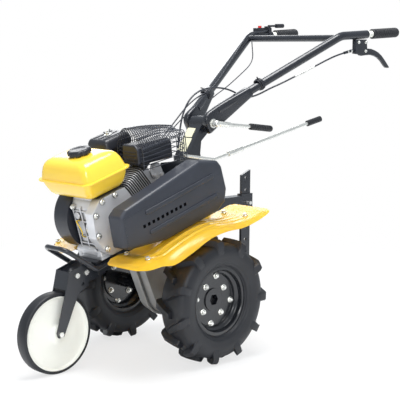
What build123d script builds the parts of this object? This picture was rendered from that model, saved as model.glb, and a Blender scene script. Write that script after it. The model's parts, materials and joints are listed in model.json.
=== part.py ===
# Walk-behind hand tractor with a petrol engine, two lugged drive wheels and a front transport wheel.
# Millimetres. +X is the machine's left, +Y its rear, +Z up. The origin is on the ground,
# under the middle of the machine. The chassis is drawn level in the machine frame, whose origin
# is the middle of the drive axle, and is then tipped nose-down onto the front wheel.
from build123d import *
import os
from math import cos, pi, radians, sin, tan

os.makedirs("parts", exist_ok=True)

# Stance
stance_pitch = 17.5             # nose-down angle of the chassis when it stands on the front wheel
fit_gap = 0.3                   # room at a seat, pin or shaft
grip_reach = 937.0              # from the drive axle back to the end of the grips
front_wheel_reach = 465.0       # from the drive axle forward to the front wheel's axle

# Drive wheels, 4.00-8
tyre_radius = 207.5             # over the lugs
tyre_carcass_radius = 190.0
tyre_width = 110.0
tread_width = 92.0
lug_count = 11                  # lugs on each side of a tyre
lug_width = 24.0
lug_angle = 28.0                # from the axle's direction
bead_radius = 105.0
rim_flange_radius = 114.0
rim_width = 70.0
rim_wall = 3.0
wheel_centre_x = 236.0          # from the middle of the machine to the middle of a tyre
wheel_disc_outer_x = 3.0        # from the middle of the tyre out to the disc's outer face
hub_flange_radius = 72.0
hub_flange_thickness = 6.0
hub_tube_radius = 25.0
hub_boss_radius = 38.0
hub_boss_height = 4.0
hub_inner_x = 62.0
axle_hexagon = 32.0             # across flats
axle_end_gap = 25.0             # from the hub's outer end in to the end of the axle

# Front transport wheel and its fork
front_wheel_radius = 130.0
front_wheel_width = 44.0
front_disc_radius = 119.0
front_disc_wall = 3.0
front_hub_radius = 20.0
front_hub_width = 50.0
front_axle_radius = 6.0
fork_plate = 4.0
fork_pivot_round = 30.0         # rounded rear end of the fork's legs
bolt_head = 6.0                 # height of a bolt's head
fork_fold_angle = 60.0
fork_lock_radius = 37.0         # from the fork's pivot to its lock bolt
fork_bolt_radius = 6.0
pivot_y = -316.0                # fork pivot in the machine frame
pivot_z = 213.0

# Engine bed
bed_top = 232.0                 # height of the engine's foot above the drive axle
bed_plate = 6.0
bed_width = 96.0
bed_front = -280.0
bed_rear = 180.0
bed_flange = 42.0
nose_depth = 56.0
nose_width = 60.0
nose_front = -368.0

bumper_radius = 8.0

# Engine
crank_y = -168.0
crank_height = 106.0            # crankshaft above the engine's foot
foot_width = 117.0
foot_length = 184.0
foot_height = 18.0
case_front = -244.0
case_rear = -88.0
case_top = 440.0
case_far_x = -54.5
cover_depth = 38.0
cylinder_lean = 25.0            # rise of the cylinder to the rear
cylinder_middle_x = 20.0
cylinder_size = 126.0
fin_count = 9
fin_pitch = 10.0
fin_thickness = 3.5
barrel_start = 78.0
head_depth = 24.0
head_share = 0.78               # head's width as a share of the fins' width
shroud_radius = 108.0
shroud_depth = 70.0
snout_rear = -36.0              # end of the shroud's duct over the cylinder
starter_radius = 92.0
starter_depth = 26.0

# Fuel tank
tank_length = 238.0
tank_width = 166.0
tank_flange = 8.0
tank_flange_thickness = 5.0
tank_middle_x = -17.0
tank_middle_y = -191.0
tank_seam = 499.0
tank_top_height = 66.0
tank_bottom_depth = 56.0
tank_corner = 34.0
cap_radius = 34.0
cap_height = 20.0
cap_y = -165.0
cap_x = -8.0

# Air cleaner, muffler and guard
cleaner_middle_x = -72.0
cleaner_middle_y = -20.0
cleaner_length = 118.0
cleaner_width = 104.0
cleaner_bottom = 476.0
cleaner_top = 562.0
carburettor_y = (-12.0, 34.0)   # front and rear faces
muffler_tilt = -10.0
muffler_middle_x = 62.0
muffler_middle_y = 20.0
muffler_middle_z = 500.0
muffler_length = 150.0
muffler_width = 76.0
muffler_height = 66.0
guard_gap = 13.0
guard_wire = 3.0
guard_pitch = 12.0

# Belt cover
belt_cover_inner_x = 140.0
belt_cover_depth = 60.0
belt_plate = 4.0

# Fenders
fender_inner_x = 96.0
fender_outer_x = 295.0
fender_sheet = 2.5
fender_front = -314.0
fender_rear = 300.0
fender_lip = 16.0
strap_width = 28.0
strap_thickness = 5.0

# Gearbox
gearbox_half_width = 42.0
gearbox_radius = 80.0
gearbox_flange = 9.0
output_boss_radius = 36.0
input_y = 118.0
input_z = 338.0
input_radius = 56.0
input_half_width = 34.0

# Column and handlebar
column_width = 60.0
column_rear_top = (262.0, 222.0)        # rear face that the hitch arm is fixed to
column_rear_low = (240.0, 170.0)
tilt_y = 330.0                  # handlebar pivot in the machine frame
tilt_z = 484.0
tilt_boss_radius = 26.0
tilt_boss_height = 5.0
tilt_bolt_radius = 6.0
ear_plate = 4.0
ear_depth = 24.0
ear_radius = 38.0
tube_radius = 14.0
tube_bend_radius = 70.0
handle_low = (53.0, 196.0, 812.0)       # start, bend and end of a tube, from the drive axle's ground point
handle_bend = (226.0, 642.0, 1071.0)
grip_end_x = 250.0
grip_end_z = 1089.0
grip_length = 136.0
grip_radius = 18.0
sleeve_radius = 12.0
sleeve_length = 26.0
cross_tube_radius = 12.0

# Controls
lever_x = 236.0                 # middle of the clutch lever
lever_thickness = 10.0
lever_cheek = 3.0
bracket_top = 1060.4
shift_rod_x = 54.0
cable_radius = 3.0
throttle_cable_radius = 2.5
stop_wire_radius = 2.0

# Cable routes, measured from the ground under the drive axle
clutch_route = [(232, 654, 1011), (229, 618, 1003), (217, 574, 985), (201, 530, 963), (184, 486, 942),
                (167, 442, 920), (150, 404, 901), (134, 370, 886), (118, 340, 868), (95, 318, 856), (74, 300, 855),
                (64, 272, 872), (54, 236, 886), (46, 184, 891), (42, 126, 884), (40, 78, 856), (40, 46, 808),
                (39, 32, 750), (39, 25, 690)]
throttle_route = [(-226, 746.2, 1097), (-212, 712, 1092), (-207, 680, 1090), (-204, 618, 1087), (-184, 560, 1046),
                  (-160, 498, 1003), (-135, 440, 967), (-110, 380, 930), (-86, 322, 896), (-66, 272, 872),
                  (-70, 226, 858), (-82, 180, 824), (-82, 132, 780), (-77, 78, 733), (-69, 20, 694),
                  (-58, -36, 668), (-55, -102, 645)]
stop_route = [(-246, 704, 1094), (-262, 703, 1091), (-268, 700, 1072), (-262, 695, 1046), (-250, 686, 1020),
              (-232, 670, 996), (-212, 642, 975), (-192, 604, 957), (-174, 562, 941), (-158, 520, 925),
              (-143, 476, 907), (-126, 430, 890), (-110, 384, 874), (-96, 340, 860), (-84, 300, 844),
              (-77, 268, 830), (-84, 228, 812), (-88, 182, 792), (-90, 140, 762), (-91, 100, 726), (-90, 58, 692),
              (-90, 8, 664), (-89, -42, 645), (-88, -92, 628), (-87, -124, 616), (-88, -161, 602.5)]

# Hitch and drag bar
drag_bar_y = 393.0              # middle of the bar behind the drive axle, on the ground frame
drag_bar_width = 44.0
drag_bar_thickness = 10.0
drag_bar_bottom = 150.0
drag_bar_top = 590.0
drag_bar_bevel = 18.0
drag_hole_radius = 6.5
drag_hole_pitch = 45.0
hitch_wall = 6.0
hitch_height = 64.0
hitch_low = 440.0

axle_y = (front_wheel_reach + front_wheel_radius - grip_reach) / 2
axle = Pos(0, axle_y, tyre_radius)
stance = axle * Rot(stance_pitch, 0, 0)
ground = Pos(0, axle_y, 0)


def to_ground(y, z):
    # Machine-frame side-view point to the ground frame below the drive axle.
    turn = radians(stance_pitch)
    return y * cos(turn) - z * sin(turn), tyre_radius + y * sin(turn) + z * cos(turn)


def to_machine(y, z):
    turn = radians(stance_pitch)
    rise = z - tyre_radius
    return y * cos(turn) + rise * sin(turn), -y * sin(turn) + rise * cos(turn)


def across(face, x_start, x_end):
    # A side-view face drawn in Plane.XY coordinates (y, z), made solid between two X stations.
    return extrude(Plane.YZ.offset(x_start) * face, x_end - x_start)


def rod_x(x_start, x_end, y, z, radius):
    return across(Pos(y, z) * Circle(radius), x_start, x_end)


def block(x, y, z):
    # A box from three (low, high) pairs.
    size = [high - low for low, high in (x, y, z)]
    middle = [(high + low) / 2 for low, high in (x, y, z)]
    return Pos(*middle) * Box(*size)


def save(name, shape, place=Pos(0, 0, 0)):
    solid = place * shape
    solid.label = name
    export_step(solid, f"parts/{name}.step")


def tyre():
    # Carcass turned about the axle, with chevron lugs whose ends run down the shoulders.
    half = tyre_width / 2
    tread = tread_width / 2
    side = (bead_radius + tyre_carcass_radius) / 2
    bead_x = rim_width / 2 - rim_wall - fit_gap
    over_flange = rim_flange_radius + 1
    right = [(bead_x, bead_radius), (bead_x, over_flange), (half - 9, over_flange + 6), (half - 2, side - 8),
             (half, side + 6), (half - 4, tyre_carcass_radius - 20), (tread - 8, tyre_carcass_radius - 5)]
    left = [(-x, radius) for x, radius in reversed(right)]
    body = revolve(make_face(Polyline(*right, (0, tyre_carcass_radius), *left, close=True)), Axis.X, 360)
    top = [(-tread - 4, side + 8), (-tread + 6, tyre_radius - 4), (-tread + 16, tyre_radius),
           (tread - 16, tyre_radius), (tread - 6, tyre_radius - 4), (tread + 4, side + 8)]
    ring = revolve(make_face(Polyline(*top, close=True)), Axis.X, 360)
    length = tread + 14
    bar = Pos(length / 2 - 8, 0, (side + tyre_radius) / 2 + 6) * Box(length, lug_width, tyre_radius - side)
    lug = ring & (Rot(0, 0, lug_angle) * bar)
    pitch = 360 / lug_count
    lugs = []
    for i in range(lug_count):
        lugs.append(Rot(i * pitch, 0, 0) * lug)
        lugs.append(Rot((i + 0.5) * pitch, 0, 0) * mirror(lug, Plane.YZ))
    return body.fuse(*lugs)


def rim():
    # Pressed rim: two flanges, bead seats, a well and the disc, turned about the axle.
    half = rim_width / 2
    seat = bead_radius - fit_gap
    wall = rim_wall
    well = seat - 12
    disc = wheel_disc_outer_x
    points = [(-half, rim_flange_radius), (-half, seat - wall), (-half + 16, seat - wall), (-half + 20, well - wall),
              (disc - wall, well - wall), (disc - wall, hub_tube_radius + fit_gap), (disc, hub_tube_radius + fit_gap),
              (disc, well - wall), (half - 20, well - wall), (half - 16, seat - wall), (half, seat - wall),
              (half, rim_flange_radius), (half - wall, rim_flange_radius), (half - wall, seat), (half - 14, seat),
              (half - 18, well), (-half + 18, well), (-half + 14, seat), (-half + wall, seat),
              (-half + wall, rim_flange_radius)]
    return revolve(make_face(Polyline(*points, close=True)), Axis.X, 360)


def hexagon(across_flats, length, x_start):
    face = RegularPolygon(across_flats / 2, 6, major_radius=False)
    return extrude(Plane.YZ.offset(x_start) * face, length)


def hub():
    # Flange on the inside of the disc, tube in to the gearbox, boss proud of the disc, hexagon bore.
    disc_inner = wheel_disc_outer_x - rim_wall
    inner = hub_inner_x - wheel_centre_x
    flange = Pos(disc_inner - hub_flange_thickness, 0, 0) * rod_x(0, hub_flange_thickness, 0, 0, hub_flange_radius)
    boss_end = wheel_disc_outer_x + hub_boss_height
    tube = rod_x(inner, boss_end, 0, 0, hub_tube_radius)
    cap = rod_x(wheel_disc_outer_x, boss_end, 0, 0, hub_boss_radius)
    bore = hexagon(axle_hexagon + 2 * fit_gap, boss_end - inner, inner)
    return flange + tube + cap - bore


def wheels():
    outer = wheel_centre_x + wheel_disc_outer_x + hub_boss_height - axle_end_gap
    save("axle", hexagon(axle_hexagon, 2 * outer, -outer), axle)
    for side, name in ((1, "left"), (-1, "right")):
        for label, shape in (("tyre", tyre()), ("rim", rim()), ("hub", hub())):
            piece = Pos(wheel_centre_x, 0, 0) * shape
            if side < 0:
                piece = mirror(piece, Plane.YZ)
            save(f"{label}_{name}", piece, axle)


def front_wheel():
    half = front_wheel_width / 2
    place = ground * Pos(0, -front_wheel_reach, front_wheel_radius)
    ring = rod_x(-half, half, 0, 0, front_wheel_radius) - rod_x(-half, half, 0, 0, front_disc_radius)
    ring = chamfer(ring.edges().filter_by(GeomType.CIRCLE).group_by(SortBy.RADIUS)[-1], 4)
    save("front_tyre", ring, place)
    inner = front_disc_radius - fit_gap
    rim_ring = rod_x(-half + 1, half - 1, 0, 0, inner) - rod_x(-half + 1, half - 1, 0, 0, inner - front_disc_wall)
    web = rod_x(half - 12 - front_disc_wall, half - 12, 0, 0, inner - 1)
    tube = rod_x(-front_hub_width / 2, front_hub_width / 2, 0, 0, front_hub_radius)
    disc = rim_ring + web + mirror(web, Plane.YZ) + tube
    disc = disc - rod_x(-front_hub_width, front_hub_width, 0, 0, front_axle_radius + fit_gap)
    save("front_disc", disc, place)
    save("front_axle_bolt", through_bolt(front_axle_radius), place)


def through_bolt(radius):
    # A bolt across both fork legs, with a head on one side and a nut on the other.
    seat = nose_width / 2 + fit_gap + fork_plate + fit_gap
    bolt = rod_x(-seat, seat, 0, 0, radius)
    bolt += across(RegularPolygon(radius + 3, 6), seat, seat + bolt_head)
    return bolt + across(RegularPolygon(radius + 3, 6), -seat - bolt_head, -seat)


def fork():
    # One folded plate: a front wall and two legs that taper down to the wheel's axle.
    hub_y, hub_z = to_machine(-front_wheel_reach, front_wheel_radius)
    inner = nose_width / 2 + fit_gap
    outline = make_face(Polyline((-376, 240), (-405, 190), (hub_y - 13, hub_z + 8), (hub_y - 12, hub_z - 9),
                                 (hub_y + 10, hub_z - 12), (-390, 130), (-361, 161), (pivot_y - 2, 167),
                                 (pivot_y + 4, 240), close=True))
    outline = fillet(outline.vertices(), 5) + Pos(pivot_y, pivot_z) * Circle(fork_pivot_round)
    leg = across(outline, inner, inner + fork_plate)
    holes = [(pivot_y, pivot_z), lock_hole(0), lock_hole(fork_fold_angle), (hub_y, hub_z)]
    for y, z in holes:
        leg -= rod_x(inner - 1, inner + fork_plate + 1, y, z, fork_bolt_radius + fit_gap)
    wall = across(make_face(Polyline((-376, 240), (-405, 190), (-401, 188), (-372, 238), close=True)),
                  -inner - fork_plate, inner + fork_plate)
    save("front_fork", leg + mirror(leg, Plane.YZ) + wall, stance)


def lock_hole(turn):
    # Middle of the lock bolt's hole that is in use when the fork has been folded by an angle.
    angle = radians(172 + turn)
    return pivot_y + fork_lock_radius * cos(angle), pivot_z + fork_lock_radius * sin(angle)


def fork_bolts():
    # The lock bolt is pulled to fold the fork. Its ends sit in the legs and its shank in the nose.
    save("fork_pivot_bolt", Pos(0, pivot_y, pivot_z) * through_bolt(fork_bolt_radius), stance)
    half = nose_width / 2
    lock = Pos(0, *lock_hole(0)) * through_bolt(fork_bolt_radius)
    ends = lock - Pos(0, *lock_hole(0)) * Box(2 * half + 2 * fit_gap, 60, 60)
    save("fork_lock_ends", ends, stance)
    save("fork_lock_shank", rod_x(-half, half, *lock_hole(0), fork_bolt_radius), stance)


def engine_bed():
    # Folded bed under the engine with side flanges, and a narrow nose that carries the fork.
    half = bed_width / 2
    low = bed_top - bed_plate
    bed = block((-half, half), (bed_front, bed_rear), (low, bed_top))
    nose = nose_width / 2
    bed += block((-nose, nose), (nose_front, bed_front), (low, bed_top))
    for side in (-1, 1):
        bed += block(sorted((side * half, side * (half - bed_plate))), (bed_front, bed_rear),
                     (bed_top - bed_flange, low))
        bed += block(sorted((side * nose, side * (nose - bed_plate))), (nose_front, bed_front + 40),
                     (bed_top - nose_depth, low))
    bed -= rod_x(-nose - 1, nose + 1, pivot_y, pivot_z, fork_bolt_radius + fit_gap)
    bed -= rod_x(-nose - 1, nose + 1, *lock_hole(0), fork_bolt_radius + fit_gap)
    save("engine_bed", bed, stance)


def bumper_bar():
    x = bed_width / 2 + bumper_radius + fit_gap
    foot_z = bed_top - bumper_radius - 9
    points = [(x, -225, foot_z), (x, -290, foot_z), (x, -382, 322), (-x, -382, 322), (-x, -290, foot_z),
              (-x, -225, foot_z)]
    path = FilletPolyline(*points, radius=(16, 28, 28, 16))
    save("bumper_bar", sweep(Plane(path @ 0, z_dir=path % 0) * Circle(bumper_radius), path=path), stance)


def gearbox():
    low = bed_top - bed_plate
    half = gearbox_half_width
    outline = Pos(0, 0) * Circle(gearbox_radius)
    outline += make_face(Polyline((-gearbox_radius - 14, 125), (-gearbox_radius + 0.3, -8), (0, 0),
                                  (gearbox_radius, 0), (105, 150), (120, low), (-84, low), close=True))
    body = across(outline, -half, half)
    rim_outline = offset(outline, gearbox_flange)
    flange = across(rim_outline, -6, 6) & block((-6, 6), (-200, 200), (-200, low))
    body += flange
    for side in (-1, 1):
        body += rod_x(*sorted((side * half, side * (half + 12))), 0, 0, output_boss_radius)
    body -= rod_x(-100, 100, 0, 0, axle_hexagon / 2 / cos(radians(30)) + fit_gap)
    side = input_half_width
    tower = across(Pos(input_y, input_z) * Circle(input_radius), -side, side)
    tower += across(make_face(Polyline((62, 300), (174, 320), (168, bed_top), (72, bed_top), close=True)), -side, side)
    tower += rod_x(side, belt_cover_inner_x - belt_plate, input_y, input_z, 24)
    save("gearbox", body, stance)
    save("input_case", tower, stance)


def on_cylinder(along, up):
    # Side-view point given along the cylinder's axis from the crankshaft, and up from that axis.
    lean = radians(cylinder_lean)
    return (crank_y + along * cos(lean) - up * sin(lean),
            bed_top + crank_height + along * sin(lean) + up * cos(lean))


def crankcase():
    half = foot_width / 2
    floor = bed_top + foot_height
    seat = barrel_start - fit_gap
    foot = block((-half, half), (case_front - 16, case_front - 16 + foot_length), (bed_top, floor))
    outline = Polyline((case_front, floor - 1), (case_front, case_top - 42), (case_front + 24, case_top),
                       on_cylinder(seat, 76), on_cylinder(seat, -62), (case_rear, floor + 20), (case_rear, floor - 1),
                       close=True)
    case = across(make_face(outline), case_far_x, half)
    tank_base = tank_seam - tank_bottom_depth
    post = block((case_far_x + 4, half - 4), (case_front + 14, case_front + 52), (case_top - 20, tank_base))
    save("crankcase", foot + case + post, stance)
    outline = Polyline((case_front, floor), (-266, 272), (-288, 321), (-278, 402), (-238, case_top - 4),
                       (-160, case_top - 2), on_cylinder(seat - 4, 74), on_cylinder(seat - 4, -62), (case_rear - 4, floor),
                       close=True)
    cover = across(make_face(outline), half, half + cover_depth)
    cover += rod_x(half, belt_cover_inner_x - belt_plate, crank_y, bed_top + crank_height, 30)
    save("side_cover", cover, stance)


def cylinder():
    # Finned barrel and head lying back from the crankshaft.
    place = Pos(cylinder_middle_x, crank_y, bed_top + crank_height) * Rot(cylinder_lean, 0, 0)
    size = cylinder_size
    end = barrel_start + fin_count * fin_pitch
    core = Pos(0, (barrel_start + end) / 2, 0) * Box(size * 0.7, end - barrel_start, size * 0.7)
    for i in range(fin_count):
        core += Pos(0, barrel_start + (i + 0.5) * fin_pitch, 0) * Box(size, fin_thickness, size)
    head = Pos(0, end + head_depth / 2, 0) * Box(size * head_share, head_depth, size * 0.86)
    save("cylinder", place * (core + fillet(head.edges().filter_by(Axis.Y), 14)), stance)


def engine():
    crankcase()
    cylinder()
    centre = (crank_y, bed_top + crank_height)
    inner = case_far_x - fit_gap
    outer = inner - shroud_depth
    shroud = across(Pos(*centre) * Circle(shroud_radius), outer, inner)
    duct = make_face(Polyline((crank_y, case_top), (snout_rear, case_top), (snout_rear, centre[1] + 20),
                              (crank_y, centre[1] - 20), close=True))
    shroud += across(duct, outer + 12, inner)
    shroud &= block((outer - 1, inner + 1), (-400, 200), (bed_top + foot_height + fit_gap, case_top))
    save("fan_shroud", shroud, stance)
    starter = rod_x(outer - starter_depth, outer, *centre, starter_radius)
    starter = fillet(starter.edges().group_by(Axis.X)[0], 16)
    save("recoil_starter", starter, stance)


def fuel_tank():
    place = Pos(tank_middle_x, tank_middle_y, tank_seam)
    upper = Box(tank_length, tank_width, tank_top_height, align=(Align.CENTER, Align.CENTER, Align.MIN))
    upper = fillet(upper.edges().filter_by(Axis.Z), tank_corner)
    upper = fillet(upper.faces().sort_by(Axis.Z)[-1].edges(), 24)
    base = RectangleRounded(tank_length, tank_width, tank_corner)
    lower = extrude(base, -tank_bottom_depth, taper=14)
    flange = extrude(RectangleRounded(tank_length + 2 * tank_flange, tank_width + 2 * tank_flange,
                                      tank_corner + tank_flange), tank_flange_thickness / 2, both=True)
    save("fuel_tank", place * (upper + lower + flange), stance)
    cap = Cylinder(cap_radius, cap_height, align=(Align.CENTER, Align.CENTER, Align.MIN))
    for i in range(8):
        cap -= Rot(0, 0, i * 45) * Pos(cap_radius + 7, 0, 0) * Cylinder(12, 3 * cap_height)
    save("tank_cap", Pos(cap_x, cap_y, tank_seam + tank_top_height) * cap, stance)


def air_cleaner():
    size = (cleaner_width, cleaner_length)
    x, y = cleaner_middle_x, cleaner_middle_y
    body = extrude(RectangleRounded(*size, 18), cleaner_top - cleaner_bottom)
    body = chamfer(body.faces().sort_by(Axis.Z)[-1].edges(), 10)
    save("air_cleaner", Pos(x, y, cleaner_bottom) * body, stance)
    inner = cylinder_middle_x - cylinder_size * head_share / 2
    carb = block((inner - 52, inner), carburettor_y, (cleaner_bottom - 62, cleaner_bottom))
    save("carburettor", carb, stance)


def muffler():
    place = Pos(muffler_middle_x, muffler_middle_y, muffler_middle_z) * Rot(muffler_tilt, 0, 0)
    box = Box(muffler_width, muffler_length, muffler_height)
    box = fillet(box.edges().filter_by(Axis.Y), 10)
    low = muffler_middle_z - muffler_height / 2
    head_end = barrel_start + fin_count * fin_pitch + head_depth + fit_gap
    pipe = Polyline(on_cylinder(head_end, 22), on_cylinder(head_end, -12), (48, low - 40), (48, low + 6), (10, low + 8),
                    close=True)
    save("muffler", place * box + across(make_face(pipe), 40, 70), stance)
    wire = guard_wire
    half_x = muffler_width / 2 + guard_gap
    half_y = muffler_length / 2 + guard_gap
    top = muffler_height / 2 + guard_gap
    low = -muffler_height / 2 - 2
    bars = []
    count = int(2 * (half_y - wire) / guard_pitch)
    for i in range(count + 1):
        y = -half_y + wire + i * 2 * (half_y - wire) / count
        span = (y - wire / 2, y + wire / 2)
        bars.append(block((-half_x, half_x), span, (top - wire, top)))
        for side in (-1, 1):
            bars.append(block(sorted((side * half_x, side * (half_x - wire))), span, (low, top)))
    for z in (low + 2, low + 20, low + 38, low + 56):
        for side in (-1, 1):
            bars.append(block(sorted((side * (half_x + wire), side * (half_x - 0.5))), (-half_y, half_y), (z, z + wire)))
            bars.append(block((-half_x - wire, half_x + wire), sorted((side * half_y, side * (half_y - wire))),
                              (z, z + wire)))
    for x in (-half_x * 0.5, 0, half_x * 0.5):
        bars.append(block((x, x + wire), (-half_y, half_y), (top - 0.5, top + wire)))
    spacer = block((-6, 6), (-50, -38), (muffler_height / 2, top))
    cage = spacer.fuse(*bars, mirror(spacer, Plane.XZ))
    save("muffler_guard", place * cage, stance)


def belt_cover():
    outline = make_face(Polyline((-264, 290), (-254, 392), (-226, 408), (108, 442), (190, 412), (202, 388),
                                 (203, 308), (184, 268), (142, 249), (-92, 249), (-246, 281), close=True))
    outline = fillet(outline.vertices(), 10)
    inner = belt_cover_inner_x
    outer = inner + belt_cover_depth
    body = across(outline, inner, outer)
    body = chamfer(body.faces().sort_by(Axis.X)[-1].edges(), 9)
    for i in range(10):
        y, z = -186 + i * 21, 322 + i * 0.6
        body -= block((outer - 8, outer + 1), (y, y + 8), (z, z + 8))
    save("belt_cover", body, stance)
    save("belt_plate", across(offset(outline, -6), inner - belt_plate, inner - fit_gap), stance)


def fender():
    crest = [(fender_front, 252), (-262, 242), (-213, 240), (-165, 232), (-90, 240), (0, 244), (75, 236), (150, 214),
             (225, 202), (fender_rear, 203)]

    def sheet(drop):
        line = Spline(*[(y, z - drop) for y, z in crest])
        under = Spline(*[(y, z - drop - fender_sheet) for y, z in crest])
        ends = [Line(line @ 0, under @ 0), Line(line @ 1, under @ 1)]
        return make_face([line, under, *ends])

    edge = fender_outer_x - 26
    flat = across(sheet(0), fender_inner_x, edge)
    lip = loft([Plane.YZ.offset(edge) * sheet(0), Plane.YZ.offset(fender_outer_x) * sheet(fender_lip)], ruled=True)
    plan = RectangleRounded(fender_outer_x - fender_inner_x, fender_rear - fender_front, 34)
    plan = Pos((fender_outer_x + fender_inner_x) / 2, (fender_rear + fender_front) / 2, 0) * plan
    return (flat + lip) & extrude(plan, 400)


def fender_strap(inner, y, seat, dip):
    # Strap under both fenders, fixed to the chassis at its inner ends, which may dip under the engine's foot.
    top = seat - fit_gap
    step = fender_inner_x - 30
    profile = Polyline((inner, top - dip), (step, top - dip), (step + 6, top), (fender_outer_x - 57, top),
                       (fender_outer_x - 57, top - strap_thickness), (step + 8, top - strap_thickness),
                       (step + 2, top - dip - strap_thickness), (inner, top - dip - strap_thickness), close=True)
    half = extrude(Plane.XZ.offset(-y - strap_width / 2) * make_face(profile), strap_width)
    return half + mirror(half, Plane.YZ)


def fenders():
    left = fender()
    save("fender_left", left, stance)
    save("fender_right", mirror(left, Plane.YZ), stance)
    save("fender_strap_front", fender_strap(bed_width / 2, -213, 235.4, 3.6), stance)
    save("fender_strap_rear", fender_strap(column_width / 2, 225, 198.0, 0), stance)


def column():
    outline = make_face(Polyline((bed_rear, 170), (bed_rear, bed_top), (198, 402), (324, 503), (352, 500), (352, 470),
                                 (318, 448), (286, 434), (269, 395), column_rear_top, column_rear_low, close=True))
    half = column_width / 2
    body = across(outline, -half, half)
    boss = tilt_boss_height
    body += rod_x(-half - boss, half + boss, tilt_y, tilt_z, tilt_boss_radius)
    body -= rod_x(-half - boss - 1, half + boss + 1, tilt_y, tilt_z, tilt_bolt_radius + fit_gap)
    save("column", body, stance)


def hitch():
    half_x = drag_bar_thickness / 2 + fit_gap
    half_y = drag_bar_width / 2 + fit_gap
    wall = hitch_wall
    low, high = hitch_low, hitch_low + hitch_height
    sleeve = block((-half_x - wall, half_x + wall), (drag_bar_y - half_y - wall, drag_bar_y + half_y + wall),
                   (low, high))
    sleeve -= block((-half_x, half_x), (drag_bar_y - half_y, drag_bar_y + half_y), (low - 1, high + 1))
    arm_end = drag_bar_y - half_y - wall
    arm = Polyline(to_ground(*column_rear_low), (arm_end, low + 6), (arm_end, high - 6),
                   to_ground(*column_rear_top), close=True)
    body = sleeve + across(make_face(arm), -20, 20)
    hole_z = low + hitch_height / 2
    body -= rod_x(-60, 60, drag_bar_y, hole_z, drag_hole_radius)
    save("hitch", body, ground)
    top, width = drag_bar_top, drag_bar_width / 2
    outline = make_face(Polyline((drag_bar_y - width, drag_bar_bottom), (drag_bar_y + width, drag_bar_bottom),
                                 (drag_bar_y + width, top), (drag_bar_y - width, top - drag_bar_bevel), close=True))
    bar = across(outline, -drag_bar_thickness / 2, drag_bar_thickness / 2)
    for i in range(-6, 3):
        bar -= rod_x(-60, 60, drag_bar_y, hole_z + i * drag_hole_pitch, drag_hole_radius)
    save("drag_bar", bar, ground)
    save("hitch_pin", rod_x(-24, 30, drag_bar_y, hole_z, drag_hole_radius - fit_gap), ground)


def tube_frame():
    # Start of the level part of the left tube, and its direction to the rear.
    end = Vector(grip_end_x, grip_reach, grip_end_z)
    along = (end - Vector(*handle_bend)).normalized()
    return end, along


def on_tube(y):
    # Plane across the left tube's level part, at a distance behind the drive axle.
    end, along = tube_frame()
    centre = end - along * ((grip_reach - y) / along.Y)
    return Plane(origin=centre, x_dir=(1, 0, 0), z_dir=along)


def handlebar():
    end, along = tube_frame()
    grip_start = end - along * grip_length
    tube_end = grip_start - along * sleeve_length
    path = FilletPolyline(handle_low, handle_bend, tuple(tube_end), radius=tube_bend_radius)
    tube = sweep(Plane(path @ 0, z_dir=path % 0) * Circle(tube_radius), path=path)
    frame = tube + mirror(tube, Plane.YZ)
    cross_y, cross_z = handle_bend[1] - 14, handle_bend[2] - 8
    frame += rod_x(-handle_bend[0] + 6, handle_bend[0] - 6, cross_y, cross_z, cross_tube_radius)
    ear = ears()
    frame += ear + mirror(ear, Plane.YZ)
    save("handle_frame", frame, ground)
    base = (Align.CENTER, Align.CENTER, Align.MIN)
    grip = Plane(origin=grip_start, z_dir=along) * Cylinder(grip_radius, grip_length, align=base)
    sleeve = Plane(origin=tube_end, z_dir=along) * Cylinder(sleeve_radius, sleeve_length, align=base)
    for name, shape in (("grip", grip), ("sleeve", sleeve)):
        save(f"{name}_left", shape, ground)
        save(f"{name}_right", mirror(shape, Plane.YZ), ground)


def ears():
    # Pressed ear: a plate round the tilt bolt that spreads out to hold the tube.
    y, z = to_ground(tilt_y, tilt_z)
    inner = column_width / 2 + tilt_boss_height + fit_gap
    outline = make_face(Polyline((y - 36, z - 12), (y - 30, z + 26), (y, z + 50), (y + 60, z + 84), (y + 118, z + 104),
                                 (y + 140, z + 62), (y + 60, z + 4), (y - 6, z - 40), close=True))
    outline = fillet(outline.vertices(), 10)
    ear = across(outline, inner, inner + ear_depth)
    return ear - rod_x(inner - 1, inner + ear_depth + 1, y, z, tilt_bolt_radius + fit_gap)


def clutch_control():
    # Lever between the two cheeks of a bracket under the left tube, with the cable's adjuster on its front.
    inner = lever_x - lever_thickness / 2 - fit_gap
    outer = lever_x + lever_thickness / 2 + fit_gap
    cheek = make_face(Polyline((706, 1009), (742, 1006), (774, 1012), (768, bracket_top), (706, bracket_top),
                               close=True))
    bracket = across(cheek, inner - lever_cheek, inner) + across(cheek, outer, outer + lever_cheek)
    bracket += block((inner - lever_cheek, outer + lever_cheek), (706, 768), (bracket_top - lever_cheek, bracket_top))
    bracket += block((inner - lever_cheek, outer + lever_cheek), (706, 706 + lever_cheek), (1009, bracket_top))
    start = Vector(*clutch_route[0])
    run = Vector(lever_x, 707, 1022) - start
    bracket += Plane(origin=start + run.normalized() * fit_gap, z_dir=run) * Cylinder(
        cable_radius + 2, run.length, align=(Align.CENTER, Align.CENTER, Align.MIN))
    save("lever_bracket", bracket, ground)
    lever = make_face(Polyline((730, 1008), (764, 1024), (802, 1026), (846, 1014), (880, 990), (914, 960), (888, 958),
                               (850, 988), (822, 1000), (796, 1004), (764, 1004), close=True))
    save("clutch_lever", across(lever, lever_x - lever_thickness / 2, lever_x + lever_thickness / 2), ground)


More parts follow.
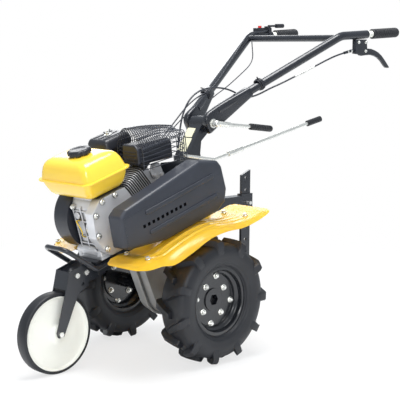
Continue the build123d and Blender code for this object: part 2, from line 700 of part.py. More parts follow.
def switches():
    # Stop switch and throttle on the right tube, drawn on the left and mirrored.
    switch = on_tube(702) * Pos(0, -18, 0) * Box(28, 26, 36)
    switch -= on_tube(702) * Cylinder(tube_radius + fit_gap, 60)
    save("stop_switch", mirror(switch, Plane.YZ), ground)
    button = on_tube(708) * Pos(0, -31, 0) * Rot(90, 0, 0) * Cylinder(7, 8, align=(Align.CENTER, Align.CENTER, Align.MIN))
    save("stop_button", mirror(button, Plane.YZ), ground)
    mount = on_tube(757) * (Cylinder(tube_radius + 5, 18) + Pos(0, -18, 0) * Box(26, 22, 18))
    mount -= on_tube(757) * Cylinder(tube_radius + fit_gap, 60)
    save("throttle_mount", mirror(mount, Plane.YZ), ground)
    lever = on_tube(757) * Pos(0, -29.3, 0) * Rot(90, 0, 0) * Cylinder(
        13, 6, align=(Align.CENTER, Align.CENTER, Align.MIN))
    arm = Line((234, 758, 1114), (240, 812, 1116))
    lever += sweep(Plane(arm @ 0, z_dir=arm % 0) * Circle(4), path=arm)
    knob = Line((240, 808, 1115.5), (241, 850, 1117))
    lever += sweep(Plane(knob @ 0, z_dir=knob % 0) * Circle(8), path=knob)
    save("throttle_lever", mirror(lever, Plane.YZ), ground)


def cable(name, route, radius):
    # A sheathed cable: straight runs joined by arcs as large as the runs allow.
    points = [Vector(*point) for point in route]
    radii = []
    for before, corner, after in zip(points, points[1:], points[2:]):
        first, second = corner - before, after - corner
        half_turn = radians(first.get_angle(second)) / 2
        radii.append(0.45 * min(first.length, second.length) / tan(half_turn))
    print(name, "radii", [round(value) for value in radii])
    path = FilletPolyline(*points, radius=radii)
    tube = sweep(Plane(path @ 0, z_dir=path % 0) * Circle(radius), path=path)
    print(name, "length", round(path.length), "volume ratio", round(tube.volume / (pi * radius ** 2 * path.length), 4))
    save(name, tube, ground)


def clamp_lever():
    # Tilt bolt with a nut on its far end, and the lever that clamps the ears.
    y, z = to_ground(tilt_y, tilt_z)
    start = column_width / 2 + tilt_boss_height + 2 * fit_gap + ear_depth
    body = rod_x(-start - 8, start + 1, y, z, tilt_bolt_radius)
    body += across(Pos(y, z) * RegularPolygon(11, 6), -start - 8, -start)
    body += rod_x(start, start + 16, y, z, 14)
    reach = Vector(start + 50, y + 190, z - 16)
    path = Line((start + 10, y, z), reach)
    body += sweep(Plane(path @ 0, z_dir=path % 0) * Circle(6), path=path)
    save("clamp_lever", body, ground)
    seat = reach + (path % 1) * fit_gap
    path = Line(seat, seat + Vector(22, 100, -10))
    save("clamp_grip", sweep(Plane(path @ 0, z_dir=path % 0) * Circle(12), path=path), ground)


def shift_control():
    # Arm on the side of the input case, and the long rod that reaches back to the driver.
    side = input_half_width
    arm = rod_x(side, side + 16, 100, 372, 10)
    plate = make_face(Polyline((92, 378), (154, 438), (170, 430), (108, 364), close=True))
    arm += across(plate, side + 10, side + 16)
    arm += rod_x(side + 10, shift_rod_x + 6, 160, 430, 5)
    save("shift_arm", arm, stance)
    y, z = to_ground(160, 430)
    path = Polyline((shift_rod_x, y + 10, z), (shift_rod_x, 178, 643), (60, 660, 750))
    rod = sweep(Plane(path @ 0, z_dir=path % 0) * Circle(6), path=path, transition=Transition.RIGHT)
    coupler = Line(Vector(shift_rod_x, 178, 643) + (path % 0.9) * 72, Vector(shift_rod_x, 178, 643) + (path % 0.9) * 142)
    rod += sweep(Plane(coupler @ 0, z_dir=coupler % 0) * Circle(9), path=coupler)
    save("shift_rod", rod, ground)
    seat = (path @ 1) + (path % 1) * fit_gap
    grip = Line(seat, seat + Vector(2, 70, 15))
    save("shift_grip", sweep(Plane(grip @ 0, z_dir=grip % 0) * Circle(11), path=grip), ground)
    arm = rod_x(side, side + 7, 150, 370, 8)
    arm += across(make_face(Polyline((143, 372), (162, 446), (175, 444), (158, 368), close=True)), side, side + 5)
    save("clutch_arm", arm, stance)


wheels()
front_wheel()
fork()
fork_bolts()
engine_bed()
bumper_bar()
gearbox()
engine()
fuel_tank()
air_cleaner()
muffler()
belt_cover()
fenders()
column()
hitch()
handlebar()
clutch_control()
switches()
clamp_lever()
shift_control()
cable("clutch_cable", clutch_route, cable_radius)
cable("throttle_cable", throttle_route, throttle_cable_radius)
cable("stop_wire", stop_route, stop_wire_radius)
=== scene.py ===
import bpy
import bmesh
import json
import math
from mathutils import Matrix, Vector


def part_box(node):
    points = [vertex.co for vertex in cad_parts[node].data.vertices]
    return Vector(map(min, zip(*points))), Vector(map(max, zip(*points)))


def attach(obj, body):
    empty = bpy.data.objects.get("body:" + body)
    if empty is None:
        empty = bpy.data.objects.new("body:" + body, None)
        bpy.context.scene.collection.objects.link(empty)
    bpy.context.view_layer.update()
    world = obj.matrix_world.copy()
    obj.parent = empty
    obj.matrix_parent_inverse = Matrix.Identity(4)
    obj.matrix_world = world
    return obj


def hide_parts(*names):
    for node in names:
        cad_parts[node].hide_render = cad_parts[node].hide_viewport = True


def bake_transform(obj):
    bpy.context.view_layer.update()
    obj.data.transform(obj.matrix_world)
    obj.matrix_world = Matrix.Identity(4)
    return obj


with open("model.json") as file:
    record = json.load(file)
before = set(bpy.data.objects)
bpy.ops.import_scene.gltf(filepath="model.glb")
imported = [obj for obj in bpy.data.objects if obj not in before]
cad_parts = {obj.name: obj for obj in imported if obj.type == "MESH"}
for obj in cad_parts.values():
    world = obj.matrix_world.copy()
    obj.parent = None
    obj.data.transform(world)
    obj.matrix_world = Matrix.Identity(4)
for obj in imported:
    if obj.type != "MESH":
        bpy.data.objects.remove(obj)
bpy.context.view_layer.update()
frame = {"nodes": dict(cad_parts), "record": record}
nodes = frame["nodes"]
print("frame loaded,", len(nodes), "nodes")

# The machine is drawn level in millimetres round its drive axle, then tipped onto its front wheel.
# "tipped" places such shapes, and "level" places those measured from the ground under the drive axle.
stancePitch = 17.5
axleLow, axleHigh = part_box("axle")
axleCentre = (axleLow + axleHigh) / 2
millimetre = Matrix.Scale(0.001, 4)
level = Matrix.Translation((0, axleCentre.y, 0)) @ millimetre
tipped = Matrix.Translation(axleCentre) @ Matrix.Rotation(math.radians(stancePitch), 4, "X") @ millimetre


# Camera and light

photo = {
    "place": (2.8393, -2.7400, 1.0063),
    "azimuth": 46.06, "elevation": 7.34, "roll": 0.44,
    "lens": 102.54, "sensor": 36.0,
}


def makeCamera():
    data = bpy.data.cameras.new("photoCamera")
    data.lens = photo["lens"]
    data.sensor_width = photo["sensor"]
    camera = bpy.data.objects.new("photoCamera", data)
    bpy.context.scene.collection.objects.link(camera)
    a, e = math.radians(photo["azimuth"]), math.radians(photo["elevation"])
    back = Vector((math.sin(a) * math.cos(e), -math.cos(a) * math.cos(e), math.sin(e)))
    turn = (-back).to_track_quat("-Z", "Y").to_matrix().to_4x4()
    roll = Matrix.Rotation(math.radians(photo["roll"]), 4, "Z")
    camera.matrix_world = Matrix.Translation(photo["place"]) @ turn @ roll
    bpy.context.scene.camera = camera


studio = {
    "floorSize": 60.0, "floorColour": (0.93, 0.93, 0.93, 1), "floorRoughness": 0.9,
    "fade": {"From Min": 0.9, "From Max": 2.2, "To Min": 0.7},
    "background": (1, 1, 1, 1), "worldColour": (0.88, 0.94, 1, 1), "worldStrength": 0.6,
    "lamps": [
        # name, place, target, size, power
        ("overhead", (0.3, -0.4, 3.4), (0, 0, 0.4), 2.0, 105),
        ("frontLeft", (3.4, -3.2, 2.4), (0, 0, 0.5), 1.6, 62),
        ("rearRight", (-3.2, 2.2, 2.4), (0, 0, 0.5), 2.2, 40),
    ],
}


def addNode(tree, kind, operation=None, **values):
    # A shader node with its inputs set by name.
    new = tree.nodes.new(kind)
    if operation:
        new.operation = operation
    for key, value in values.items():
        new.inputs[key].default_value = value
    return new


def join(tree, *links):
    # Each link goes from a node's output to another node's input.
    for source, output, target, entry in links:
        tree.links.new(source.outputs[output], target.inputs[entry])


def makeWorld(scene):
    # Lights the machine softly, while the camera sees plain white.
    world = bpy.data.worlds.new("studioWorld")
    scene.world = world
    world.use_nodes = True
    tree = world.node_tree
    tree.nodes.clear()
    out = addNode(tree, "ShaderNodeOutputWorld")
    mix = addNode(tree, "ShaderNodeMixShader")
    seen = addNode(tree, "ShaderNodeBackground", Color=studio["background"])
    light = addNode(tree, "ShaderNodeBackground", Color=studio["worldColour"],
                    Strength=studio["worldStrength"])
    ray = addNode(tree, "ShaderNodeLightPath")
    join(tree, (ray, "Is Camera Ray", mix, 0), (light, 0, mix, 1), (seen, 0, mix, 2), (mix, 0, out, 0))


def makeLamps(scene):
    for name, place, target, size, power in studio["lamps"]:
        data = bpy.data.lights.new(name, "AREA")
        data.shape = "DISK"
        data.size = size
        data.energy = power
        lamp = bpy.data.objects.new(name, data)
        scene.collection.objects.link(lamp)
        lamp.location = place
        lamp.rotation_euler = (Vector(target) - Vector(place)).to_track_quat("-Z", "Y").to_euler()


def makeFloor(scene):
    half = studio["floorSize"] / 2
    corners = [(-half, -half, 0), (half, -half, 0), (half, half, 0), (-half, half, 0)]
    mesh = bpy.data.meshes.new("studioFloor")
    mesh.from_pydata(corners, [], [(0, 1, 2, 3)])
    floor = bpy.data.objects.new("studioFloor", mesh)
    scene.collection.objects.link(floor)
    white = bpy.data.materials.new("floorWhite")
    white.use_nodes = True
    tree = white.node_tree
    base, out = tree.nodes["Principled BSDF"], tree.nodes["Material Output"]
    base.inputs["Base Color"].default_value = studio["floorColour"]
    base.inputs["Roughness"].default_value = studio["floorRoughness"]
    # Far from the machine the floor fades into the white background.
    place = addNode(tree, "ShaderNodeTexCoord")
    length = addNode(tree, "ShaderNodeVectorMath", "LENGTH")
    fade = addNode(tree, "ShaderNodeMapRange", **studio["fade"])
    ray = addNode(tree, "ShaderNodeLightPath")
    both = addNode(tree, "ShaderNodeMath", "MULTIPLY")
    glow = addNode(tree, "ShaderNodeEmission")
    mixer = addNode(tree, "ShaderNodeMixShader")
    join(tree, (place, "Object", length, 0), (length, "Value", fade, "Value"), (fade, "Result", both, 0),
         (ray, "Is Camera Ray", both, 1), (both, 0, mixer, 0), (base, 0, mixer, 1), (glow, 0, mixer, 2),
         (mixer, 0, out, "Surface"))
    mesh.materials.append(white)


bpy.context.scene.view_settings.view_transform = "Standard"
makeCamera()
makeWorld(bpy.context.scene)
makeLamps(bpy.context.scene)
makeFloor(bpy.context.scene)
print("camera and studio ready")


# Materials: the record's finishes and a few more, made of noise over the piece's own coordinates.

finishes = {
    # colour, its share of change, roughness, metal, coat, grain per metre, relief in mm
    "yellow_paint": ((1.0, 0.665, 0.055), 0.012, 0.24, 0.0, 0.5, 90, 0.003),
    "black_paint": ((0.010, 0.012, 0.018), 0.15, 0.30, 0.0, 0.45, 140, 0.02),
    "cover_plastic": ((0.027, 0.031, 0.043), 0.10, 0.42, 0.0, 0.05, 900, 0.02),
    "black_plastic": ((0.013, 0.014, 0.020), 0.15, 0.36, 0.0, 0.1, 500, 0.03),
    "red_plastic": ((0.75, 0.02, 0.015), 0.08, 0.35, 0.0, 0.2, 300, 0.02),
    "shroud_black": ((0.016, 0.018, 0.027), 0.12, 0.40, 0.0, 0.1, 300, 0.03),
    "cast_aluminium": ((0.76, 0.76, 0.78), 0.10, 0.40, 0.35, 0.0, 420, 0.12),
    "gearbox_grey": ((0.36, 0.36, 0.355), 0.14, 0.46, 0.35, 0.0, 320, 0.12),
    "exhaust_black": ((0.007, 0.007, 0.008), 0.2, 0.42, 0.0, 0.15, 400, 0.05),
    "rim_black": ((0.008, 0.009, 0.012), 0.15, 0.26, 0.0, 0.4, 200, 0.02),
    "tyre_rubber": ((0.012, 0.013, 0.017), 0.2, 0.48, 0.0, 0.0, 380, 0.06),
    "disc_cream": ((0.90, 0.90, 0.83), 0.02, 0.38, 0.0, 0.2, 90, 0.01),
    "zinc": ((0.80, 0.80, 0.76), 0.10, 0.26, 0.8, 0.0, 500, 0.02),
    "grip_rubber": ((0.012, 0.013, 0.016), 0.2, 0.5, 0.0, 0.0, 600, 0.05),
    "cable_black": ((0.018, 0.021, 0.030), 0.15, 0.38, 0.0, 0.2, 700, 0.01),
    "plate_cream": ((0.80, 0.77, 0.56), 0.03, 0.5, 0.0, 0.0, 200, 0.01),
    "wire_black": ((0.05, 0.055, 0.07), 0.10, 0.30, 0.4, 0.2, 400, 0.01),
    # painted shade: near-black for the dark inside of the belt cover's vent holes
    "vent_painted_shade": ((0.0015, 0.0015, 0.002), 0.2, 0.95, 0.0, 0.0, 400, 0.01),
}


shading = {
    # castings get painted shade: their colour is darkened where their walls stand close together
    "paintedShadeFinishes": ("cast_aluminium", "gearbox_grey"), "paintedShadeReach": 0.028,
    "paintedShadeLevels": {"From Min": 0.25, "From Max": 0.9, "To Min": 0.12},
    "broadGrain": 14.0, "ramp": (0.3, 0.7), "roughSpan": (0.85, 1.15), "coatRoughness": 0.12, "dull": 0.9,
    # rounding of a CAD piece's corners in the shading, in metres
    "cadEdge": 0.0012,
}


def material(name, edge=0.0):
    title = name + ("Cad" if edge else "") + "Finish"
    if title in bpy.data.materials:
        return bpy.data.materials[title]
    colour, change, rough, metal, coat, grain, relief = finishes[name]
    s = shading
    made = bpy.data.materials.new(title)
    made.use_nodes = True
    tree = made.node_tree
    base = tree.nodes["Principled BSDF"]
    place = addNode(tree, "ShaderNodeTexCoord")
    fine = addNode(tree, "ShaderNodeTexNoise", Scale=grain, Detail=3.0)
    broad = addNode(tree, "ShaderNodeTexNoise", Scale=s["broadGrain"], Detail=2.0)
    ramp = addNode(tree, "ShaderNodeValToRGB")
    for stop, at, factor in zip(ramp.color_ramp.elements, s["ramp"], (1 - change, 1 + change)):
        stop.position = at
        stop.color = (*[min(c * factor, 1) for c in colour], 1)
    join(tree, (place, "Object", fine, "Vector"), (place, "Object", broad, "Vector"),
         (broad, "Fac", ramp, "Fac"))
    # Painted shade: ambient occlusion darkens the base colour in crevices and between close walls.
    if name in s["paintedShadeFinishes"]:
        near = addNode(tree, "ShaderNodeAmbientOcclusion", Distance=s["paintedShadeReach"])
        near.samples = 8
        deep = addNode(tree, "ShaderNodeMapRange", **s["paintedShadeLevels"])
        shade = addNode(tree, "ShaderNodeVectorMath", "SCALE")
        join(tree, (near, "AO", deep, "Value"), (ramp, "Color", shade, 0), (deep, "Result", shade, "Scale"),
             (shade, "Vector", base, "Base Color"))
    else:
        join(tree, (ramp, "Color", base, "Base Color"))
    # Only the vents' painted shade is rough enough to lose its specular reflection here, which keeps it
    # black.
    if rough > s["dull"]:
        base.inputs["Specular IOR Level"].default_value = 0.0
    smoothest, roughest = (rough * share for share in s["roughSpan"])
    span = addNode(tree, "ShaderNodeMapRange", **{"To Min": smoothest, "To Max": roughest})
    base.inputs["Metallic"].default_value = metal
    base.inputs["Coat Weight"].default_value = coat
    base.inputs["Coat Roughness"].default_value = s["coatRoughness"]
    bump = addNode(tree, "ShaderNodeBump", Strength=0.5, Distance=relief / 1000)
    if edge:
        soft = addNode(tree, "ShaderNodeBevel", Radius=edge)
        soft.samples = 4
        join(tree, (soft, "Normal", bump, "Normal"))
    join(tree, (fine, "Fac", span, "Value"), (span, "Result", base, "Roughness"),
         (fine, "Fac", bump, "Height"), (bump, "Normal", base, "Normal"))
    return made


# Each CAD node has the finish of its slot in the record.
for part in frame["record"]["subparts"]:
    slotName = part["material_slot"]
    mesh = nodes[part["node"]].data
    mesh.materials.clear()
    mesh.materials.append(material(slotName, edge=shading["cadEdge"]))
print("materials ready")


# Mesh tools. Shapes are drawn in millimetres and placed by one of the two matrices above.

def smoothLine(points, steps=6):
    points = [Vector(p) for p in points]
    ends = [points[0] * 2 - points[1], *points, points[-1] * 2 - points[-2]]
    line = []
    for a, b, c, d in zip(ends, ends[1:], ends[2:], ends[3:]):
        for i in range(steps):
            t = i / steps
            line.append(0.5 * (2 * b + (c - a) * t + (2 * a - 5 * b + 4 * c - d) * t * t
                               + (3 * b - a - 3 * c + d) * t ** 3))
    return [*line, points[-1]]


def filleted(points, radius, steps=5, closed=True):
    # Corners of a flat or spatial line replaced by arcs, each no larger than its sides allow.
    points = [Vector(p) for p in points]
    count = len(points)
    line = []
    for i, corner in enumerate(points):
        if not closed and i in (0, count - 1):
            line.append(corner)
            continue
        before, after = points[i - 1] - corner, points[(i + 1) % count] - corner
        turn = before.angle(after)
        if turn > math.pi - 0.05:
            line.append(corner)
            continue
        reach = min(radius / math.tan(turn / 2), 0.49 * before.length, 0.49 * after.length)
        a, b = corner + before.normalized() * reach, corner + after.normalized() * reach
        for k in range(steps + 1):
            t = k / steps
            line.append((1 - t) ** 2 * a + 2 * t * (1 - t) * corner + t * t * b)
    return line


def skin(bm, rings, caps=True, loop=False):
    # Faces between rings of vertices, with flat ends or closed round.
    pairs = list(zip(rings, rings[1:]))
    if loop:
        pairs.append((rings[-1], rings[0]))
    for low, high in pairs:
        for i in range(len(low)):
            j = (i + 1) % len(low)
            bm.faces.new((low[i], low[j], high[j], high[i]))
    if caps and not loop:
        bm.faces.new(list(reversed(rings[0])))
        bm.faces.new(rings[-1])


def rings(bm, lists, **how):
    skin(bm, [[bm.verts.new(p) for p in points] for points in lists], **how)


def circle(centre, radius, u, v, sides):
    turn = 2 * math.pi / sides
    return [centre + (u * math.cos(i * turn) + v * math.sin(i * turn)) * radius for i in range(sides)]


def sweep(bm, points, radius, sides=14):
    # A round bar along a line. The radius is one number or one for each point.
    points = [Vector(p) for p in points]
    radii = radius if isinstance(radius, list) else [radius] * len(points)
    made, side = [], None
    for i, (point, size) in enumerate(zip(points, radii)):
        along = (points[min(i + 1, len(points) - 1)] - points[max(i - 1, 0)]).normalized()
        side = (along.orthogonal() if side is None else side - along * side.dot(along)).normalized()
        made.append(circle(point, size, side, along.cross(side), sides))
    rings(bm, made)


def rod(bm, start, direction, profile, sides=24):
    # Turned shape: a list of (distance along, radius) from a start point.
    start, along = Vector(start), Vector(direction).normalized()
    side = along.orthogonal().normalized()
    rings(bm, [circle(start + along * s, r, side, along.cross(side), sides) for s, r in profile])


def turned(bm, profile, centre, steps=96):
    # Closed (x, radius) profile turned about an axis along X.
    y, z = centre
    loop = []
    for i in range(steps):
        a = 2 * math.pi * i / steps
        loop.append([Vector((x, y + r * math.cos(a), z + r * math.sin(a))) for x, r in profile])
    rings(bm, loop, loop=True)


def slab(bm, outline, low, high, round=0, steps=4, axis="X", both=False):
    # A flat outline made solid between two stations, with its far edge rounded.
    def point(p, s):
        return {"X": (s, p[0], p[1]), "Y": (p[0], s, p[1]), "Z": (p[0], p[1], s)}[axis]

    sign = 1 if high > low else -1
    start = low + sign * round if both else low
    made = [[bm.verts.new(point(p, s)) for p in outline] for s in (start, high - sign * round)]
    skin(bm, made)
    bm.faces.ensure_lookup_table()
    faces = [bm.faces[-1], bm.faces[-2]] if both else [bm.faces[-1]]
    for face in faces:
        face.normal_update()
        away = Vector(point((0, 0), 1)) * (sign if face == faces[0] else -sign)
        flipped = face.normal.dot(away) < 0
        if round:
            for k in range(steps):
                a, b = k * math.pi / 2 / steps, (k + 1) * math.pi / 2 / steps
                bmesh.ops.inset_region(bm, faces=[face], use_even_offset=True, use_boundary=True,
                                       thickness=round * (math.cos(a) - math.cos(b)), depth=0)
                move = away * round * (math.sin(b) - math.sin(a))
                bmesh.ops.translate(bm, vec=move, verts=list(face.verts))
        if flipped:
            face.normal_flip()
    return faces[0]


def brick(bm, x, y, z, round=0):
    outline = [(y[0], z[0]), (y[1], z[0]), (y[1], z[1]), (y[0], z[1])]
    if round:
        outline = filleted(pad(outline), round, 3)
    slab(bm, outline, x[0], x[1], round * 0.6, 3, both=bool(round))


def pad(outline):
    return [(p[0], p[1], 0) for p in outline]


def rounded(width, depth, corner, z, centre=(0, 0), steps=6):
    # Rounded rectangle at a height.
    w, d = width / 2, depth / 2
    corners = [(centre[0] + x, centre[1] + y, z) for x, y in ((-w, -d), (w, -d), (w, d), (-w, d))]
    return filleted(corners, corner, steps)


def bolt(bm, at, direction, size=8, shank=0, washer=True):
    # Hexagon head with a chamfered top, on a washer; size is the thread's diameter.
    at, along = Vector(at), Vector(direction).normalized()
    side = along.orthogonal().normalized()
    other = along.cross(side)
    lift = 0
    if washer:
        rings(bm, [circle(at + along * s, r * size, side, other, 20)
                   for s, r in ((0, 1.05), (size * 0.12, 1.05), (size * 0.16, 1.0))])
        lift = size * 0.16
    head = [(lift, 0.86), (lift + size * 0.5, 0.86), (lift + size * 0.62, 0.76)]
    rings(bm, [circle(at + along * s, r * size, side, other, 6) for s, r in head])
    if shank:
        thread = [(0, size * 0.5), (shank - 1, size * 0.5), (shank, size * 0.42)]
        rod(bm, at + along * (lift + size * 0.6), along, thread, 14)


def piece(name, bm, place, body, slotName, *cadNodes, bevel=0, angle=38, mirrorX=False, finish=None):
    # Turns the mesh into a piece of the machine that rides on a body and stands for CAD nodes.
    if mirrorX:
        bmesh.ops.transform(bm, matrix=Matrix.Scale(-1, 4, (1, 0, 0)), verts=bm.verts)
    bmesh.ops.recalc_face_normals(bm, faces=bm.faces)
    mesh = bpy.data.meshes.new(name)
    bm.to_mesh(mesh)
    bm.free()
    mesh.transform(place)
    mesh.shade_smooth()
    obj = bpy.data.objects.new(name, mesh)
    bpy.context.scene.collection.objects.link(obj)
    if bevel:
        edge = obj.modifiers.new("edge", "BEVEL")
        edge.width = bevel / 1000
        edge.segments = 2
        edge.limit_method = "ANGLE"
        edge.angle_limit = math.radians(angle)
        obj.modifiers.new("shade", "WEIGHTED_NORMAL").keep_sharp = True
    else:
        mesh.set_sharp_from_angle(angle=math.radians(angle))
    mesh.materials.append(material(finish or slotName))
    if body:
        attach(obj, body)
    if cadNodes:
        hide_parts(*cadNodes)
    return obj


# Cables. Each repeats its route in the part's source.

routes = {
    "clutch_cable": (3.0, (40, 78, 856), (118, 340, 868), [
        (232, 654, 1011), (229, 618, 1003), (217, 574, 985), (201, 530, 963), (184, 486, 942),
        (167, 442, 920), (150, 404, 901), (134, 370, 886), (118, 340, 868), (95, 318, 856), (74, 300, 855),
        (64, 272, 872), (54, 236, 886), (46, 184, 891), (42, 126, 884), (40, 78, 856), (40, 46, 808),
        (39, 32, 750), (39, 25, 690)]),
    "throttle_cable": (2.5, (-77, 78, 733), (-66, 290, 880), [
        (-226, 746.2, 1097), (-212, 712, 1092), (-207, 680, 1090), (-204, 618, 1087), (-184, 560, 1046),
        (-160, 498, 1003), (-135, 440, 967), (-110, 380, 930), (-86, 322, 896), (-66, 272, 872),
        (-70, 226, 858), (-82, 180, 824), (-82, 132, 780), (-77, 78, 733), (-69, 20, 694),
        (-58, -36, 668), (-55, -102, 645)]),
    "stop_wire": (2.0, (-90, 58, 692), (-84, 290, 835), [
        (-246, 704, 1094), (-262, 703, 1091), (-268, 700, 1072), (-262, 695, 1046), (-250, 686, 1020),
        (-232, 670, 996), (-212, 642, 975), (-192, 604, 957), (-174, 562, 941), (-158, 520, 925),
        (-143, 476, 907), (-126, 430, 890), (-110, 384, 874), (-96, 340, 860), (-84, 300, 844),
        (-77, 268, 830), (-84, 228, 812), (-88, 182, 792), (-90, 140, 762), (-91, 100, 726), (-90, 58, 692),
        (-90, 8, 664), (-89, -42, 645), (-88, -92, 628), (-87, -124, 616), (-88, -161, 602.5)]),
}


def routeLine(name, points):
    # The points that a second-order NURBS curve through the route's frame takes.
    curve = bpy.data.curves.new(name + "Route", "CURVE")
    curve.dimensions = "3D"
    spline = curve.splines.new("NURBS")
    spline.points.add(len(points) - 1)
    for target, p in zip(spline.points, points):
        target.co = (*p, 1)
    spline.order_u = 3
    spline.use_endpoint_u = True
    spline.resolution_u = 8
    holder = bpy.data.objects.new(name + "Route", curve)
    bpy.context.scene.collection.objects.link(holder)
    bpy.context.view_layer.update()
    line = bpy.data.meshes.new_from_object(holder.evaluated_get(bpy.context.evaluated_depsgraph_get()))
    found = [v.co.copy() for v in line.vertices]
    bpy.data.objects.remove(holder)
    bpy.data.meshes.remove(line)
    return found


def makeCable(name, radius, route):
    line = routeLine(name, [level @ Vector(p) for p in route])
    bm = bmesh.new()
    sweep(bm, line, radius / 1000, 12)
    obj = piece(name + "Sheath", bm, Matrix(), None, "cable_black", name, angle=60)
    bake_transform(obj)
    return obj


for name, (radius, start, end, route) in routes.items():
    makeCable(name, radius, route)
print("cables ready")


# Drive wheels

tyre = {
    "middleX": 236, "lugs": 11, "bevel": 1.6, "steps": 132,
    # from the bead over the side to the crown, as (distance from the middle, radius)
    "profile": [(33, 105.5), (35, 112), (37, 115.5), (40.5, 117), (44, 118), (46, 122), (48.5, 127),
                (50.6, 128), (51.6, 131), (52.2, 138), (54, 146), (55, 156), (54, 167), (50.5, 177),
                (44, 185), (32, 189), (14, 190.5), (0, 191)],
    # a lug's stations: foot (x, radius), top (x, radius), turn in degrees, half widths at foot and top
    "lug": [((-10, 187), (-8, 204.5), -1.6, 14, 7.5), ((-5, 187), (-5, 207), -0.8, 14, 9),
            ((14, 187), (14, 207.5), 2.1, 13.5, 9.5), ((31, 186), (32, 207.4), 4.8, 13.5, 9.5),
            ((42, 182), (45, 206.2), 6.6, 14.5, 10.5), ((48, 175), (53.5, 200.5), 7.6, 15.5, 12),
            ((51, 167), (57.5, 188), 8.0, 15.5, 12), ((53, 158), (57.2, 170), 8.0, 14, 10.5),
            ((53.5, 152), (55, 157), 8.0, 11, 8)],
    "firstLug": -12.2, "nubLength": 6, "nubRadius": 0.7,
    # thin rubber hairs on a lug's flanks: distance from the middle, radius, turn in degrees
    "nubs": [(55, 196, -4.6), (55, 192, -10.8), (30, 202, -1.8)],
}
rim = {
    "profile": [(31.5, 106), (31.5, 114.5), (33, 116), (35.5, 115.5), (36, 113), (36, 103.5), (34, 101.6),
                (20, 100.4), (17, 98), (15, 92), (12, 89.4), (6, 88.4), (3.4, 86.4), (3, 83), (3, 30),
                (0, 30), (0, 86.5), (-12, 89.4), (-15, 92), (-17, 98), (-20, 100.4), (-34, 101.6),
                (-36, 103.5), (-36, 113), (-35.5, 115.5), (-33, 116), (-31.5, 114.5), (-31.5, 106),
                (-18, 104), (-15, 94), (15, 94), (18, 104)],
    # bolts: radius, angle of the first, size, thickness of what they go through
    "bolts": [(78.4, 8, 10, 3), (57.9, 53, 10, 9)], "boltFace": 3,
}


def around(x, r, degrees):
    a = math.radians(degrees)
    return Vector((x, r * math.cos(a), r * math.sin(a)))


def lugMesh(bm, turn, side):
    made = []
    for foot, top, lead, footHalf, topHalf in tyre["lug"]:
        ring = []
        for (x, r), half in ((foot, -footHalf), (top, -topHalf), (top, topHalf), (foot, footHalf)):
            ring.append(around(side * x, r, turn - lead + math.degrees(half / r)))
        made.append(ring)
    rings(bm, made)


def makeTyre(name, side):
    t = tyre
    half = t["profile"]
    outline = half + [(-x, r) for x, r in reversed(half[:-1])] + [(-30, 102), (30, 102)]
    bm = bmesh.new()
    turned(bm, [(x + side * t["middleX"], r) for x, r in outline], (0, 0), t["steps"])
    pitch = 360 / t["lugs"]
    lugs = bmesh.new()
    for i in range(2 * t["lugs"]):
        turn = t["firstLug"] + i * pitch / 2
        lean = side if i % 2 == 0 else -side
        lugMesh(lugs, turn, lean)
        for x, r, off in t["nubs"]:
            start = around(lean * x, r, turn + off)
            away = around(lean * x, r, turn + off + math.copysign(10, off + 8)) - start
            rod(lugs, start, away, [(0, t["nubRadius"]), (t["nubLength"], t["nubRadius"] * 0.5)], 5)
    bmesh.ops.translate(lugs, vec=(side * t["middleX"], 0, 0), verts=lugs.verts)
    piece(name + "Carcass", bm, tipped, "drive_wheels", "tyre_rubber", name, angle=50)
    piece(name + "Lugs", lugs, tipped, "drive_wheels", "tyre_rubber", bevel=t["bevel"])


def makeRim(name, side):
    bm = bmesh.new()
    turned(bm, [(side * (x + tyre["middleX"]), r) for x, r in rim["profile"]], (0, 0), 120)
    piece(name + "Pressing", bm, tipped, "drive_wheels", "rim_black", name, angle=35)
    bm = bmesh.new()
    for radius, first, size, through in rim["bolts"]:
        for k in range(4):
            spot = around(side * (tyre["middleX"] + rim["boltFace"]), radius, k * 90 - first - stancePitch)
            bolt(bm, spot, (side, 0, 0), size, shank=3)
            bolt(bm, spot - Vector((side * through, 0, 0)), (-side, 0, 0), size, shank=5)
    piece(name + "Bolts", bm, tipped, "drive_wheels", "zinc", angle=30)


for side, word in ((1, "left"), (-1, "right")):
    makeTyre("tyre_" + word, side)
    makeRim("rim_" + word, side)
print("drive wheels ready")


# Front transport wheel

frontWheel = {
    "centre": (-465, 130), "steps": 120, "dimples": 8, "dimpleRadius": 96, "dimpleX": 10.6, "dimpleTurn": 0.3,
    "dimple": [(-1, 3), (1, 3), (1.6, 1.8)],
    "tyre": [(22, 119.2), (22, 124), (20.6, 127.6), (17, 129.6), (0, 130), (-17, 129.6), (-20.6, 127.6),
             (-22, 124), (-22, 119.2)],
    "disc": [(20.6, 119.2), (21, 117.5), (20, 115.6), (14, 113.5), (11.4, 110), (10.4, 104), (12, 80),
             (13, 60), (12.4, 38), (14, 30), (18, 26), (21, 23), (25, 17), (25, 7)],
}


def makeFrontWheel():
    w = frontWheel
    bm = bmesh.new()
    turned(bm, w["tyre"], w["centre"], w["steps"])
    piece("frontTyreRing", bm, level, "front_wheel", "tyre_rubber", "front_tyre", angle=40)
    bm = bmesh.new()
    half = w["disc"]
    turned(bm, half + [(-x, r) for x, r in reversed(half)], w["centre"], w["steps"])
    y, z = w["centre"]
    for side in (1, -1):
        for k in range(w["dimples"]):
            a = 2 * math.pi * (k + w["dimpleTurn"]) / w["dimples"]
            spot = (side * w["dimpleX"], y + w["dimpleRadius"] * math.cos(a),
                    z + w["dimpleRadius"] * math.sin(a))
            rod(bm, spot, (side, 0, 0), w["dimple"], 14)
    piece("frontDiscPressing", bm, level, "front_wheel", "disc_cream", "front_disc", angle=45)


makeFrontWheel()
print("front wheel ready")


# Fuel tank with its pressed seam, and the cap

